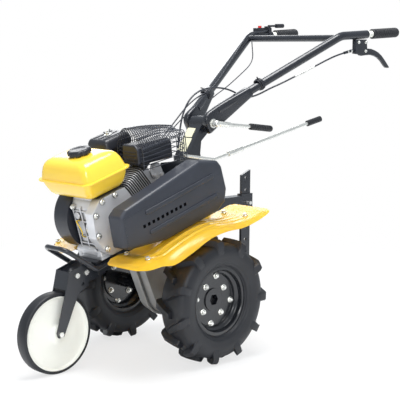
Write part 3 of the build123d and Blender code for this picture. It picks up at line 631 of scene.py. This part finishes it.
tank = {
    "centre": (-17, -191), "length": 250, "width": 178, "seam": 499,
    # sections from the bottom up: height from the seam, how much shorter, how much narrower, corner
    "sections": [(-60, 84, 72, 18), (-59, 66, 56, 22), (-54, 46, 38, 26), (-46, 32, 26, 27),
                 (-34, 21, 17, 28), (-20, 11, 9, 28), (-6, 5, 3, 28), (-3, 3, 2, 28), (-2.4, -14, -14, 30),
                 (0.4, -15, -15, 30), (2.4, -14, -14, 30), (3, 3, 2, 28), (8, 5, 3, 28), (24, 12, 9, 29),
                 (40, 22, 18, 29), (50, 34, 28, 28), (57, 50, 42, 26), (61, 70, 60, 24), (63, 96, 84, 20),
                 (63.6, 130, 112, 16)],
    # filler neck and lobed cap; the cap's sections are (height, share of its radius)
    "capPlace": (-8, -193, 562), "capRadius": 39, "capLobes": 8, "capDent": 3.4,
    "capSections": [(0.3, 0.86), (3, 0.9), (5, 1.0), (15, 1.0), (18.6, 0.95), (20, 0.86), (20, 0.6),
                    (18.8, 0.5)],
    "neckSunk": 4, "neck": [(0, 36), (4, 35), (6.5, 31), (7, 26)],
}


def makeTank():
    t = tank
    bm = bmesh.new()
    rings(bm, [rounded(t["length"] - shorter, t["width"] - narrower, corner, t["seam"] + height,
                       t["centre"], 8) for height, shorter, narrower, corner in t["sections"]])
    x, y, z = t["capPlace"]
    rod(bm, (x, y, z - t["neckSunk"]), (0, 0, 1), t["neck"], 40)
    piece("tankShell", bm, tipped, "chassis", "yellow_paint", "fuel_tank", angle=42)
    bm = bmesh.new()
    made = []
    for height, scale in t["capSections"]:
        ring = []
        for i in range(96):
            a = 2 * math.pi * i / 96
            dent = t["capDent"] * (0.5 - 0.5 * math.cos(a * t["capLobes"])) ** 2
            r = scale * (t["capRadius"] - dent)
            ring.append(Vector((x + r * math.cos(a), y + r * math.sin(a), z + height)))
        made.append(ring)
    rings(bm, made)
    piece("tankCapKnob", bm, tipped, "chassis", "black_plastic", "tank_cap", angle=50)


makeTank()
print("tank ready")


# Fenders: a thin sheet with long beads and a rolled outer lip

fender = {
    # y, height, share of the beads, drop of the outer edge
    "crest": [(-314, 256, 0, 2), (-262, 243, 0, 7), (-213, 240, 0.2, 14), (-165, 232, 1, 22),
              (-90, 240, 1, 26), (0, 244, 1, 19), (75, 236, 1, 18), (150, 214, 1, 14), (225, 202, 0.2, 6),
              (300, 203, 0, 0)],
    "inner": 96, "outer": 295, "corner": 34, "cornerInside": 0.5,
    # front corners cut off, by side and edge: where the cut starts and its slope
    "cuts": {(1, "inner"): (-254, 0.85), (-1, "outer"): (-158, 0.98)}, "noCut": (-400, 0),
    "sheet": 2.5, "beads": (172, 205, 238), "bead": 3.4, "beadWidth": 6.5, "fallWidth": 40, "fallPower": 1.8,
    # the rolled end of the sheet: its depth, where it is deepest, and its width
    "curl": 1.2, "curlAt": 5, "curlWidth": 7, "boltLift": 0.5, "boltSize": 9,
    "bolts": [(130, -213, 244), (230, -213, 241), (130, 227, 203), (230, 227, 203)],
}


def fenderRow(t):
    table = fender["crest"]
    line = smoothLine([(y, z, 0) for y, z, bead, drop in table], 8)
    other = smoothLine([(y, bead, drop) for y, z, bead, drop in table], 8)
    at = t * (len(line) - 1)
    i = min(int(at), len(line) - 2)
    a, b = line[i].lerp(line[i + 1], at - i), other[i].lerp(other[i + 1], at - i)
    return a.x, a.y, min(max(b.y, 0), 1), b.z


def frontCut(side, edge, y):
    # How far a front corner is cut back at this station.
    start, slope = fender["cuts"].get((side, edge), fender["noCut"])
    return max(start - y, 0) * slope


def makeFender(name, side):
    f = fender
    bm = bmesh.new()
    rows, across = 96, 72
    inner, outer, corner = f["inner"], f["outer"], f["corner"]
    grid = []
    for i in range(rows + 1):
        y, z, bead, drop = fenderRow(i / rows)
        near = min(y - f["crest"][0][0], f["crest"][-1][0] - y)
        cut = corner - math.sqrt(max(corner ** 2 - max(corner - near, 0) ** 2, 0)) if near < corner else 0
        low = inner + cut * f["cornerInside"] + frontCut(side, "inner", y)
        high = outer - cut - frontCut(side, "outer", y)
        row = []
        for k in range(across + 1):
            x = low + (high - low) * k / across
            lift = sum(f["bead"] * bead * math.exp(-((x - at) / f["beadWidth"]) ** 4)
                       for at in f["beads"])
            u = min(max((x - (outer - f["fallWidth"])) / f["fallWidth"], 0), 1)
            fall = drop * u ** f["fallPower"]
            curl = f["curl"] * math.exp(-((near - f["curlAt"]) / f["curlWidth"]) ** 2)
            row.append(bm.verts.new((x, y, z + lift - fall - curl)))
        grid.append(row)
    for a, b in zip(grid, grid[1:]):
        for k in range(across):
            bm.faces.new((a[k], a[k + 1], b[k + 1], b[k]))
    bmesh.ops.solidify(bm, geom=bm.faces[:], thickness=f["sheet"])
    piece(name + "Pressing", bm, tipped, "chassis", "yellow_paint", name, angle=50, mirrorX=side < 0)
    bm = bmesh.new()
    for x, y, z in f["bolts"]:
        bolt(bm, (x, y, z + f["boltLift"]), (0, 0, 1), f["boltSize"], shank=2)
    piece(name + "Bolts", bm, tipped, "chassis", "zinc", angle=30, mirrorX=side < 0)


makeFender("fender_left", 1)
makeFender("fender_right", -1)
print("fenders ready")


# Belt cover: a deep pressed lid with two long beads and a row of vents, drawn as near-black plates of painted
# shade

cover = {
    "outline": [(-264, 290), (-254, 392), (-226, 408), (108, 442), (190, 412), (202, 388), (203, 308),
                (184, 268), (142, 249), (-92, 249), (-246, 281)],
    "inner": 140, "outer": 200, "corner": 13, "edge": 13,
    "beads": [(-158, 154, 369, 374), (-158, 154, 302, 305)], "beadWidth": 16, "beadLift": 4,
    "vents": 10, "ventStart": -172, "ventPitch": 20, "ventHeight": 331, "vent": 10.5,
}


def makeCover():
    c = cover
    bm = bmesh.new()
    slab(bm, filleted(pad(c["outline"]), c["corner"], 5), c["inner"], c["outer"], c["edge"], 6)
    for front, rear, low, high in c["beads"]:
        half = c["beadWidth"] / 2
        a, b = Vector((front + half, low)), Vector((rear - half, high))
        along = (b - a).normalized()
        side = Vector((-along.y, along.x))
        outline = []
        for centre, turn in ((b, 0), (a, math.pi)):
            for k in range(13):
                angle = turn + math.pi * (0.5 - k / 12)
                outline.append(centre + (along * math.cos(angle) + side * math.sin(angle)) * half)
        slab(bm, outline, c["outer"] - 1, c["outer"] + c["beadLift"], 3, 3)
    piece("beltCoverPressing", bm, tipped, "chassis", "cover_plastic", "belt_cover", angle=50)
    # The vents are thin near-black plates on the lid's face: painted shade standing in for the holes' dark
    # insides.
    bm = bmesh.new()
    half = c["vent"] / 2
    for i in range(c["vents"]):
        y, z = c["ventStart"] + i * c["ventPitch"], c["ventHeight"]
        hole = [(y - half, z - half), (y + half, z - half), (y + half, z + half), (y - half, z + half)]
        slab(bm, filleted(pad(hole), 1.2, 2), c["outer"] - 2, c["outer"] + 0.3, 0.1, 1)
    piece("coverVents", bm, tipped, "chassis", "exhaust_black", angle=50, finish="vent_painted_shade")


makeCover()
print("belt cover ready")


# Engine: cylinder with thin fins, crankcase trim, starter, air cleaner, muffler and its wire guard

engine = {
    "crank": (-168, 338), "lean": 25, "cylinderX": 20,
    "fin": (126, 126), "fins": 12, "finStart": 80, "finPitch": 8, "finThick": 2.2, "finCorner": 16,
    "finRound": 0.5,
    "barrel": 88, "barrelStart": 76, "barrelCorner": 20,
    # the head, the ribs across its end, and its bolts as steps from its middle
    "head": (98, 108), "headLap": 2, "headDepth": 24, "headCorner": 14, "headRound": 2,
    "headRibs": (-26, 0, 26), "headRib": (3, 116), "headRibLift": 4, "headBolts": (40, 44), "headBoltSize": 9,
}


def onCylinder(x, along, up):
    lean = math.radians(engine["lean"])
    y, z = engine["crank"]
    return Vector((x, y + along * math.cos(lean) - up * math.sin(lean),
                   z + along * math.sin(lean) + up * math.cos(lean)))


def cylinderPlate(bm, size, height, low, high, corner, x=0, round=0):
    # A rounded plate square to the cylinder's axis, between two distances from the crankshaft.
    made = []
    spans = [(low, 0), (high, 0)]
    if round:
        spans = [(low, round), (low + round, 0), (high - round, 0), (high, round)]
    for along, inset in spans:
        ring = rounded(size - 2 * inset, height - 2 * inset, corner, 0, steps=4)
        made.append([onCylinder(engine["cylinderX"] + x + p.x, along, p.y) for p in ring])
    rings(bm, made)


def makeCylinder():
    bm = bmesh.new()
    e = engine
    for i in range(e["fins"]):
        low = e["finStart"] + i * e["finPitch"]
        cylinderPlate(bm, *e["fin"], low, low + e["finThick"], e["finCorner"], round=e["finRound"])
    end = e["finStart"] + e["fins"] * e["finPitch"]
    face = end + e["headDepth"]
    cylinderPlate(bm, *e["head"], end - e["headLap"], face, e["headCorner"], round=e["headRound"])
    for x in e["headRibs"]:
        cylinderPlate(bm, *e["headRib"], end + e["headRibLift"], face + e["headRibLift"], 1, x=x)
    out = onCylinder(0, 1, 0) - onCylinder(0, 0, 0)
    across, rise = e["headBolts"]
    for x in (-across, across):
        for up in (-rise, rise):
            bolt(bm, onCylinder(e["cylinderX"] + x, face, up), out, e["headBoltSize"])
    piece("cylinderCasting", bm, tipped, "chassis", "cast_aluminium", "cylinder", angle=30)
    # The barrel is the same cast aluminium; it is drawn in exhaust black as painted shade in the gaps between
    # the fins.
    bm = bmesh.new()
    cylinderPlate(bm, e["barrel"], e["barrel"], e["barrelStart"], end, e["barrelCorner"])
    piece("cylinderBarrelPaintedShade", bm, tipped, "chassis", "cast_aluminium", angle=30, finish="exhaust_black")


caseTrim = {
    # ribs on the front face: height and reach of the level ones, place across of the upright ones
    "front": -244, "ribs": [(276, 5), (300, 4), (352, 5), (386, 4)], "ribSpan": (-50, 56),
    "uprights": (-46, -8, 52), "uprightSpan": (256, 404), "uprightReach": 6, "ribWidth": 5, "ribRound": 1.5,
    "ribSunk": 6,
    # turned covers on the front face: x, start behind the face, z, profile, sides
    "covers": [(22, 4, 330, [(0, 22), (9, 22), (11, 20), (11, 12), (9, 11)], 36),
               (-30, 4, 372, [(0, 13), (8, 13), (10, 11)], 28),
               (30, 4, 384, [(0, 12), (12, 12), (14, 10)], 28),
               (36, -10, 262, [(0, 10), (8, 10), (9, 8)], 6)],
    "bosses": [(-40, 262), (0, 262), (46, 300), (46, 372), (-40, 402)], "boss": [(0, 8), (8, 8), (9.5, 6.5)],
    "bossSunk": 4, "bossBolt": (5.5, 8), "coverBolt": (22, 7, 330, 10),
    # the foot in side view, and its bosses from above
    "foot": [(-60, 244), (-60, 262), (-84, 270), (-250, 270), (-262, 262), (-262, 244)],
    "footSpan": (-58, 62),
    "feet": [(-46, -252), (46, -252), (-46, -92), (46, -92)], "footBoss": [(0, 12), (9, 12), (11, 10)],
    "footLow": 244, "footBolt": (255, 9),
    # bolts on the side cover's rim, as (y, z)
    "rim": [(-257, 277), (-277, 330), (-268, 394), (-232, 427), (-178, 429)], "rimFace": 99.5, "rimBolt": 9,
    # yellow wire, with y from the front face
    "wire": [(-24, -4, 356), (-16, -22, 362), (-4, -26, 350), (2, -24, 330), (-6, -20, 312), (-14, -8, 302),
             (-18, 2, 296)], "wireRadius": 2.2,
}


def makeCaseTrim():
    c = caseTrim
    front, back = c["front"], c["front"] + c["ribSunk"]
    toFront, toLeft, up = (0, -1, 0), (1, 0, 0), (0, 0, 1)
    bm = bmesh.new()
    for z, reach in c["ribs"]:
        brick(bm, c["ribSpan"], (front - reach, back), (z, z + c["ribWidth"]), c["ribRound"])
    for x in c["uprights"]:
        brick(bm, (x, x + c["ribWidth"]), (front - c["uprightReach"], back), c["uprightSpan"], c["ribRound"])
    for x, sunk, z, profile, sides in c["covers"]:
        rod(bm, (x, front + sunk, z), toFront, profile, sides)
    for x, z in c["bosses"]:
        rod(bm, (x, front + c["bossSunk"], z), toFront, c["boss"], 20)
    for x, y in c["feet"]:
        rod(bm, (x, y, c["footLow"]), up, c["footBoss"], 24)
    slab(bm, filleted(pad(c["foot"]), 5, 3), *c["footSpan"], 3, 3)
    piece("crankcaseTrim", bm, tipped, "chassis", "cast_aluminium", angle=40)
    bm = bmesh.new()
    for y, z in c["rim"]:
        bolt(bm, (c["rimFace"], y, z), toLeft, c["rimBolt"], shank=1)
    lead, size = c["bossBolt"]
    for x, z in c["bosses"]:
        bolt(bm, (x, front - lead, z), toFront, size)
    z, size = c["footBolt"]
    for x, y in c["feet"]:
        bolt(bm, (x, y, z), up, size, shank=2)
    x, lead, z, size = c["coverBolt"]
    bolt(bm, (x, front - lead, z), toFront, size)
    piece("crankcaseBolts", bm, tipped, "chassis", "zinc", angle=30)
    bm = bmesh.new()
    sweep(bm, smoothLine([(x, front + y, z) for x, y, z in c["wire"]], 8), c["wireRadius"], 10)
    piece("senderWire", bm, tipped, "chassis", "yellow_paint", angle=60)


starter = {
    "x": -124.8, "gap": 0.3,
    "profile": [(0, 92), (8, 92), (16, 89), (22, 84), (25, 78), (26, 70), (26, 40), (24, 38), (24, 34),
                (31, 33), (31, 8), (29, 6)],
    # slanted bars over the vents, the rim's bolts by angle, and the housing of the pull handle
    "bars": 24, "barX": 25.8, "barRadius": 55, "barHalf": 10, "barLean": 0.5, "barSize": 1.6,
    "boltAngles": (0.4, 1.5, 2.6, 3.7, 4.8, 5.9), "boltX": 14, "boltRadius": 88, "boltSize": 6,
    "housing": ((-40, -24), (-24, 22), (60, 72)), "housingRound": 5,
}


def makeShroud():
    s = starter
    x, (y, z) = s["x"], engine["crank"]
    outward = (-1, 0, 0)
    bm = bmesh.new()
    rod(bm, (x + s["gap"], y, z), outward, s["profile"], 96)
    piece("starterCover", bm, tipped, "chassis", "shroud_black", "recoil_starter", angle=35)
    bm = bmesh.new()
    for k in range(s["bars"]):
        a = 2 * math.pi * k / s["bars"]
        spot = Vector((x - s["barX"], y + s["barRadius"] * math.cos(a), z + s["barRadius"] * math.sin(a)))
        away = Vector((0, math.cos(a + s["barLean"]), math.sin(a + s["barLean"])))
        sweep(bm, [spot - away * s["barHalf"], spot + away * s["barHalf"]], s["barSize"], 8)
    for a in s["boltAngles"]:
        spot = (x - s["boltX"], y + s["boltRadius"] * math.cos(a), z + s["boltRadius"] * math.sin(a))
        bolt(bm, spot, outward, s["boltSize"])
    brick(bm, *([at + low, at + high] for at, (low, high) in zip((x, y, z), s["housing"])), s["housingRound"])
    piece("starterVents", bm, tipped, "chassis", "black_plastic", angle=40)


cleaner = {
    "centre": (-72, -20), "width": 104, "length": 118, "top": 562,
    # height from the top, how much smaller, corner
    "sections": [(-86, 12, 14), (-82, 8, 16), (-36, 8, 16), (-36, 0, 18), (-34, -1, 18), (-32, 0, 18),
                 (-14, 3, 18), (-5, 12, 17), (-1, 22, 15), (0, 30, 13)],
    "ribs": (-26, 0, 26), "ribHalf": (6, 38), "ribSpan": (-2, 1.4), "ribRound": 0.8,
    "nut": [(0, 13), (1.6, 13), (2.2, 12), (2.2, 7), (8, 6.4), (9, 3), (15, 3), (16, 2)],
    "wing": [(4, 3), (12, 9), (16, 16), (12, 17), (7, 9), (3, 9)], "wingHalf": 1.4,
}


def makeCleaner():
    c = cleaner
    (x, y), top = c["centre"], c["top"]
    bm = bmesh.new()
    rings(bm, [rounded(c["width"] - less, c["length"] - less, corner, top + z, c["centre"], 5)
               for z, less, corner in c["sections"]])
    half, reach = c["ribHalf"]
    low, high = c["ribSpan"]
    for dx in c["ribs"]:
        at = x + dx
        brick(bm, (at - half, at + half), (y - reach, y + reach), (top + low, top + high), c["ribRound"])
    piece("cleanerBox", bm, tipped, "chassis", "black_plastic", "air_cleaner", angle=50)
    bm = bmesh.new()
    rod(bm, (x, y, top), (0, 0, 1), c["nut"], 24)
    for side in (-1, 1):
        wing = [(y + side * p, top + q, 0) for p, q in c["wing"]]
        slab(bm, filleted(wing, 3, 3), x - c["wingHalf"], x + c["wingHalf"])
    piece("wingNut", bm, tipped, "chassis", "zinc", angle=40)


muffler = {
    "place": (62, 20, 500), "tilt": -10, "box": (76, 150, 66), "slope": 14, "corner": 9, "round": 5,
    # pressed bars on the sides, louvres on the sloping edge, and the neck to the cylinder head
    "bars": (-24, -13, -2, 9), "bar": 2.4, "barInset": 10, "barSunk": 0.6,
    "louvres": 11, "louvre": 3.2, "louvreInset": 14,
    "neck": [(-48, -30), (10, -30), (-16, -52), (-34, -62), (-54, -50)], "neckCorner": 6,
    "neckSpan": (-22, 8),
}
guard = {
    # the wire cage over the muffler: its near, far, front and rear sides and its lowest row
    "front": -60, "rear": 128, "near": 46, "far": -78, "low": -47, "ridgeX": -20, "wire": 1.5,
    # heights of shoulder and ridge at the front and the rear, and how the ridge bulges between
    "shoulder": (17, 37), "ridge": (84, 62), "bulge": 5, "hoops": 24, "longHoops": 6,
    # a hoop's points: from which side, step from it, from which height, step from it
    "hoop": [("far", 0, "shoulder", -8), ("far", 4, "shoulder", 14), ("ridgeX", -30, "ridge", -10),
             ("ridgeX", 0, "ridge", 0), ("ridgeX", 26, "ridge", -12), ("near", -8, "shoulder", 12),
             ("near", 0, "shoulder", -4)], "legBow": 1, "farLeg": 20,
    # rows round the sides: their rise, the lifts of their corners, and how they fan out to the rear
    "rows": 6, "rowRise": 66, "rowLifts": (2, -2, 5, 9), "rowFan": 14, "rowCorner": 16,
    "ribs": 7, "ribSteps": 12,
}


def hoop(share, full):
    # One wire over the muffler, from the front at 0 to the rear at 1. A full one reaches the lowest row.
    g = guard
    y = g["front"] + (g["rear"] - g["front"]) * share
    heights = {key: g[key][0] + (g[key][1] - g[key][0]) * share for key in ("shoulder", "ridge")}
    rise = {"shoulder": 0, "ridge": g["bulge"] * math.sin(math.pi * share)}
    line = [(g[side] + dx, y, heights[key] + dz + rise[key]) for side, dx, key, dz in g["hoop"]]
    if full:
        line += [(g["near"] + g["legBow"], y, (heights["shoulder"] + g["low"]) / 2), (g["near"], y, g["low"])]
        line.insert(0, (g["far"], y, g["low"] + g["farLeg"]))
    return smoothLine(line, 4)


def makeGuard(place):
    g = guard
    bm = bmesh.new()
    last = g["hoops"] - 1
    for i in range(g["hoops"]):
        sweep(bm, hoop(i / last, i == 0 or i > last - g["longHoops"]), g["wire"], 6)
    for i in range(g["rows"]):
        share = i / (g["rows"] - 1)
        z, fan = g["low"] + share * g["rowRise"], share * g["rowFan"]
        a, b, c, d = (z + lift for lift in g["rowLifts"])
        ring = [(g["far"], g["front"], a), (g["near"], g["front"], b), (g["near"], g["rear"], c + fan),
                (g["far"], g["rear"], d + fan)]
        ring = filleted(ring, g["rowCorner"], 5)
        sweep(bm, ring + ring[:1], g["wire"], 6)
    # Ribs that run along the top, from hoop to hoop.
    paths = [hoop(i / g["ribSteps"], False) for i in range(g["ribSteps"] + 1)]
    for k in range(g["ribs"]):
        share = (k + 0.5) / g["ribs"]
        sweep(bm, [path[int(share * (len(path) - 1))] for path in paths], g["wire"], 6)
    piece("guardWires", bm, place, "chassis", "exhaust_black", "muffler_guard", angle=60, finish="wire_black")


def makeMuffler():
    m = muffler
    place = tipped @ Matrix.Translation(m["place"]) @ Matrix.Rotation(math.radians(m["tilt"]), 4, "X")
    w, d, h = (s / 2 for s in m["box"])
    slope, inset, sunk = m["slope"], m["barInset"], m["barSunk"]
    bm = bmesh.new()
    outline = pad([(-w, -h), (w, -h), (w, h - slope), (w - slope, h), (-w, h)])
    slab(bm, filleted(outline, m["corner"], 4), -d, d, m["round"], 4, axis="Y", both=True)
    for z in m["bars"]:
        sweep(bm, [(w - sunk, -d + inset, z), (w - sunk, d - inset, z)], m["bar"], 8)
        sweep(bm, [(-w + inset, -d + sunk, z), (w - inset, -d + sunk, z)], m["bar"], 8)
    inset = m["louvreInset"]
    for i in range(m["louvres"]):
        y = -d + inset + i * (2 * d - 2 * inset) / (m["louvres"] - 1)
        sweep(bm, [(w - slope - 1, y, h - 0.5), (w - 1, y, h - slope - 0.5)], m["louvre"], 8)
    piece("mufflerBox", bm, place, "chassis", "exhaust_black", "muffler", angle=40, finish="shroud_black")
    bm = bmesh.new()
    slab(bm, filleted(pad(m["neck"]), m["neckCorner"], 3), *m["neckSpan"])
    piece("exhaustNeck", bm, place, "chassis", "exhaust_black", angle=40)
    makeGuard(place)


makeCylinder()
makeCaseTrim()
makeShroud()
makeCleaner()
makeMuffler()
print("engine ready")


# Handlebar: bent tubes with pressed ears, grips, levers and ties

handle = {
    "low": (53, 196, 812), "bend": (226, 642, 1071), "end": (250, 937, 1089),
    "gripLength": 136, "sleeveLength": 26, "tube": 15, "bendRadius": 70,
    "crossTube": 12, "crossFromBend": (-6, -14, -8),
}
gripEnd = Vector(handle["end"])
levelRun = (gripEnd - Vector(handle["bend"])).normalized()
gripStart = gripEnd - levelRun * handle["gripLength"]
tubeEnd = gripStart - levelRun * handle["sleeveLength"]


def flip(points):
    return [Vector((-p[0], p[1], p[2])) for p in points]


def tubeAxes():
    # Low end of the left tube, its direction, and the direction square to it and upward.
    low = Vector(handle["low"])
    along = (Vector(handle["bend"]) - low).normalized()
    return low, along, along.cross(Vector((1, 0, 0))).normalized() * -1


ear = {
    # stations along the tube from its low end: distance, lower edge, upper edge, half width
    "stations": [(-76, -40, -14, 9), (-74, -51, -5, 11), (-68, -53, 6, 12), (-58, -53, 13, 12),
                 (-42, -52, 16.5, 12), (0, -49, 17, 12.5), (40, -40, 17.5, 14), (80, -30, 17.5, 16),
                 (116, -22, 17.5, 17), (132, -19, 17.5, 17), (134, -17, 16, 16)],
    "corner": 11, "plateMiddle": 47.3,
}


def makeHandleFrame():
    h = handle
    bm = bmesh.new()
    path = filleted([h["low"], h["bend"], tubeEnd], h["bendRadius"], 12, closed=False)
    low, along, up = tubeAxes()
    across = Vector((1, 0, 0))
    for turn in (list, flip):
        sweep(bm, turn(path), h["tube"], 28)
        # The pressed ear: wide and flat at the tilt bolt, closing round the tube further up.
        made = []
        for t, under, over, half in ear["stations"]:
            centre = low + along * t
            centre.x = max(centre.x, ear["plateMiddle"])
            corner = min(ear["corner"], half - 1, (over - under) / 2 - 1)
            ring = rounded(2 * half, over - under, corner, 0, steps=6)
            made.append(turn([centre + across * p.x + up * (p.y + (over + under) / 2) for p in ring]))
        rings(bm, made)
    x, y, z = (a + b for a, b in zip(h["bend"], h["crossFromBend"]))
    sweep(bm, [(-x, y, z), (x, y, z)], h["crossTube"], 24)
    piece("handleTubes", bm, level, "handlebar", "black_paint", "handle_frame", angle=45)


grip = {
    "start": [(0, 16), (2, 18), (8, 18)], "end": [(128, 18), (133, 16.5), (135.4, 13), (136, 8)],
    "ribs": 11, "first": 14, "pitch": 10.2, "rib": [(0, 18), (1.2, 16.6), (3.2, 16.6), (4.4, 18)],
    "sleeve": [(0, 11), (0.4, 12), (25, 12), (26, 11)],
}


def ribbed(start, rib, count, first, pitch, end):
    # A grip's profile, with ribs between its two ends.
    profile = list(start)
    for i in range(count):
        profile += [(first + i * pitch + s, r) for s, r in rib]
    return profile + end


def makeGrips():
    g = grip
    profile = ribbed(g["start"], g["rib"], g["ribs"], g["first"], g["pitch"], g["end"])
    for word, turn in (("left", list), ("right", flip)):
        start, end, sleeveStart = turn([gripStart, gripEnd, tubeEnd])
        bm = bmesh.new()
        rod(bm, start, end - start, profile, 32)
        piece("grip" + word.title(), bm, level, "handlebar", "grip_rubber", "grip_" + word, angle=30)
        bm = bmesh.new()
        rod(bm, sleeveStart, end - start, g["sleeve"], 28)
        piece("sleeve" + word.title(), bm, level, "handlebar", "disc_cream", "sleeve_" + word, angle=40)


clutch = {
    "x": 236, "thickness": 10, "corner": 4, "edge": 2.5,
    "top": [(730, 1012), (746, 1021), (764, 1025), (784, 1028), (802, 1027), (824, 1022), (846, 1014),
            (866, 1002), (884, 987), (900, 972), (913, 960)],
    "under": [(908, 957), (892, 958), (880, 966), (862, 982), (842, 994), (822, 1001), (796, 1005),
              (764, 1003), (746, 1001), (733, 1003)],
    "bolts": [(763, 1050), (763, 1019), (722, 1050)], "boltLift": 3.3, "boltSize": 6,
    # silver adjuster and ferrule in front of the bracket: its run, its start as a share of that, its profile
    "run": [(232, 654, 1011), (235, 706, 1021)], "start": 0.16,
    "adjuster": [(0, 3.6), (8, 3.6), (8.2, 6), (14, 6), (14.2, 4.4), (26, 4.4), (26.2, 6.5), (31, 6.5),
                 (31.2, 4), (44, 4)],
}


def makeClutchLever():
    c = clutch
    half = c["thickness"] / 2
    bm = bmesh.new()
    outline = filleted(pad(c["top"] + c["under"]), c["corner"], 2)
    slab(bm, outline, c["x"] - half, c["x"] + half, c["edge"], 3, both=True)
    piece("clutchLeverBlade", bm, level, "handlebar", "black_paint", "clutch_lever", angle=50)
    bm = bmesh.new()
    for y, z in c["bolts"]:
        bolt(bm, (c["x"] + half + c["boltLift"], y, z), (1, 0, 0), c["boltSize"])
    start, end = (Vector(p) for p in c["run"])
    rod(bm, start + (end - start) * c["start"], end - start, c["adjuster"], 16)
    piece("clutchAdjuster", bm, level, "handlebar", "zinc", angle=35)


clamp = {
    # boss and nut of the tilt bolt outside the ears, then the lever back to the driver
    "face": 59.6, "pivot": (169.2, 768.3), "gap": 0.3,
    "boss": [(0, 16), (2.5, 16), (3, 12), (22, 12), (26, 10), (28, 6)],
    "nut": [(0, 14), (2, 14), (2.2, 10), (9, 10), (11, 8)],
    "armStart": 15, "knee": (84, 182, 767), "rodEnd": (88, 323, 753), "gripEnd": (92, 430, 741),
    "neck": (0.3, 0.34), "radii": [10, 10, 9, 6.2, 6.2],
    # its grip: ribs from "first" to "last" before the end
    "start": [(0, 9), (2, 11)], "rib": [(0, 11.4), (1, 10.4), (3, 10.4), (4, 11.4)], "ribs": 7, "first": 10,
    "last": 16, "end": [(6, 11.4), (2, 10.2), (0, 7)], "lap": 2,
}


def makeClampLever():
    c = clamp
    y, z = c["pivot"]
    bm = bmesh.new()
    rod(bm, (c["face"], y, z), (1, 0, 0), c["boss"], 28)
    rod(bm, (-c["face"] - c["gap"], y, z), (-1, 0, 0), c["nut"], 6)
    knee, end, tip = (Vector(c[key]) for key in ("knee", "rodEnd", "gripEnd"))
    neck = [knee.lerp(end, share) for share in c["neck"]]
    sweep(bm, [Vector((c["face"] + c["armStart"], y, z)), knee, *neck, end], c["radii"], 18)
    piece("clampLeverArm", bm, level, "handlebar", "zinc", "clamp_lever", angle=45)
    bm = bmesh.new()
    along = (tip - end).normalized()
    size = (tip - end).length
    pitch = (size - c["first"] - c["last"]) / c["ribs"]
    profile = ribbed(c["start"], c["rib"], c["ribs"], c["first"], pitch, [(size - s, r) for s, r in c["end"]])
    rod(bm, end - along * c["lap"], along, profile, 24)
    piece("clampLeverGrip", bm, level, "handlebar", "grip_rubber", "clamp_grip", angle=35)


ties = {
    # straps round tube and cable: name, side, place along the machine, radius, half width
    "straps": [("near", 1, 344, 17.5, 7), ("far", -1, 272, 19, 8)],
    # a strap's three turns: step in half widths, how much wider; then how far its upper side stands out
    "turns": [(-0.7, 0), (0.1, 1.5), (0.9, 0.3)], "sunk": 1.5, "knot": 5.0, "strap": 3.2, "tail": 2.2,
    # adjuster within the clutch cable
    "adjuster": ((201, 530, 963), (167, 442, 920)),
    "profile": [(0, 3.4), (10, 3.6), (10.2, 5), (16, 5), (16.2, 3.8), (44, 3.8), (44.2, 5.6), (52, 5.6),
                (52.2, 4.4), (66, 4.4), (66.2, 3.6), (84, 3.4)],
}


def makeTies():
    s = ties
    low, along, up = tubeAxes()
    across = Vector((1, 0, 0))
    for name, side, y, radius, half in s["straps"]:
        turn = list if side > 0 else flip
        centre = low + along * ((y - low.y) / along.y)
        bm = bmesh.new()
        for shift, grow in s["turns"]:
            ring = []
            for k in range(33):
                a = 2 * math.pi * k / 32
                r = radius + grow - s["sunk"] + s["knot"] * max(0, -math.sin(a)) ** 2
                ring.append(centre + along * (half * shift) + across * r * math.cos(a) - up * r * math.sin(a))
            sweep(bm, turn(ring), s["strap"], 10)
        tail = [centre + up * (radius + 1), centre + up * (radius + 9) + along * 3,
                centre + up * (radius + 14) + Vector((6, -4, 0))]
        sweep(bm, turn(tail), s["tail"], 8)
        piece(name + "CableTie", bm, level, "handlebar", "black_plastic", angle=60)
    bm = bmesh.new()
    start, end = (Vector(p) for p in s["adjuster"])
    rod(bm, start, end - start, s["profile"], 16)
    piece("inlineAdjuster", bm, level, "handlebar", "zinc", angle=35)


makeHandleFrame()
makeGrips()
makeClutchLever()
makeClampLever()
makeTies()
print("handlebar ready")


# Column plates, the gusset at the column's foot and the exhaust bracket

column = {
    # bare plates on the sloping front face: from and to up the face, from and to across it
    "foot": (198, 402), "head": (324, 503), "plates": [(84, 120, -27, 11), (27, 80, -28, 16)],
    # dark plate at the column's foot and the bright bracket before it, in side view
    "gusset": [(60, 444), (128, 424), (196, 402), (196, 380), (60, 372), (44, 398)], "gussetX": (63, 68),
    "bracket": [(12, 456), (46, 451), (52, 420), (38, 404), (6, 410), (2, 434)], "bracketX": (70, 76),
}


def makeColumnPlates():
    c = column
    foot, head = Vector((0, *c["foot"])), Vector((0, *c["head"]))
    up = (head - foot).normalized()
    out = Vector((0, -up.z, up.y))
    bm = bmesh.new()
    for low, high, left, right in c["plates"]:
        corners = [(left, low), (right, low), (right, high), (left, high)]
        made = []
        for lift in (0.2, 1.4):
            line = filleted(pad(corners), 3, 3)
            made.append([foot + Vector((1, 0, 0)) * p.x + up * p.y + out * lift for p in line])
        rings(bm, made)
    piece("columnPlates", bm, tipped, "chassis", "disc_cream", angle=40, finish="plate_cream")
    bm = bmesh.new()
    slab(bm, filleted(pad(c["gusset"]), 6, 4), *c["gussetX"], 1.5, 3)
    piece("columnGusset", bm, tipped, "chassis", "black_paint", angle=40)
    bm = bmesh.new()
    slab(bm, filleted(pad(c["bracket"]), 6, 4), *c["bracketX"], 1.5, 3)
    for y, z in ((16, 446), (14, 420), (44, 412)):
        bolt(bm, (c["bracketX"][1], y, z), (1, 0, 0), 8, shank=1)
    piece("exhaustBracket", bm, tipped, "chassis", "cast_aluminium", angle=40)


makeColumnPlates()
print("column ready")


print("pieces done")
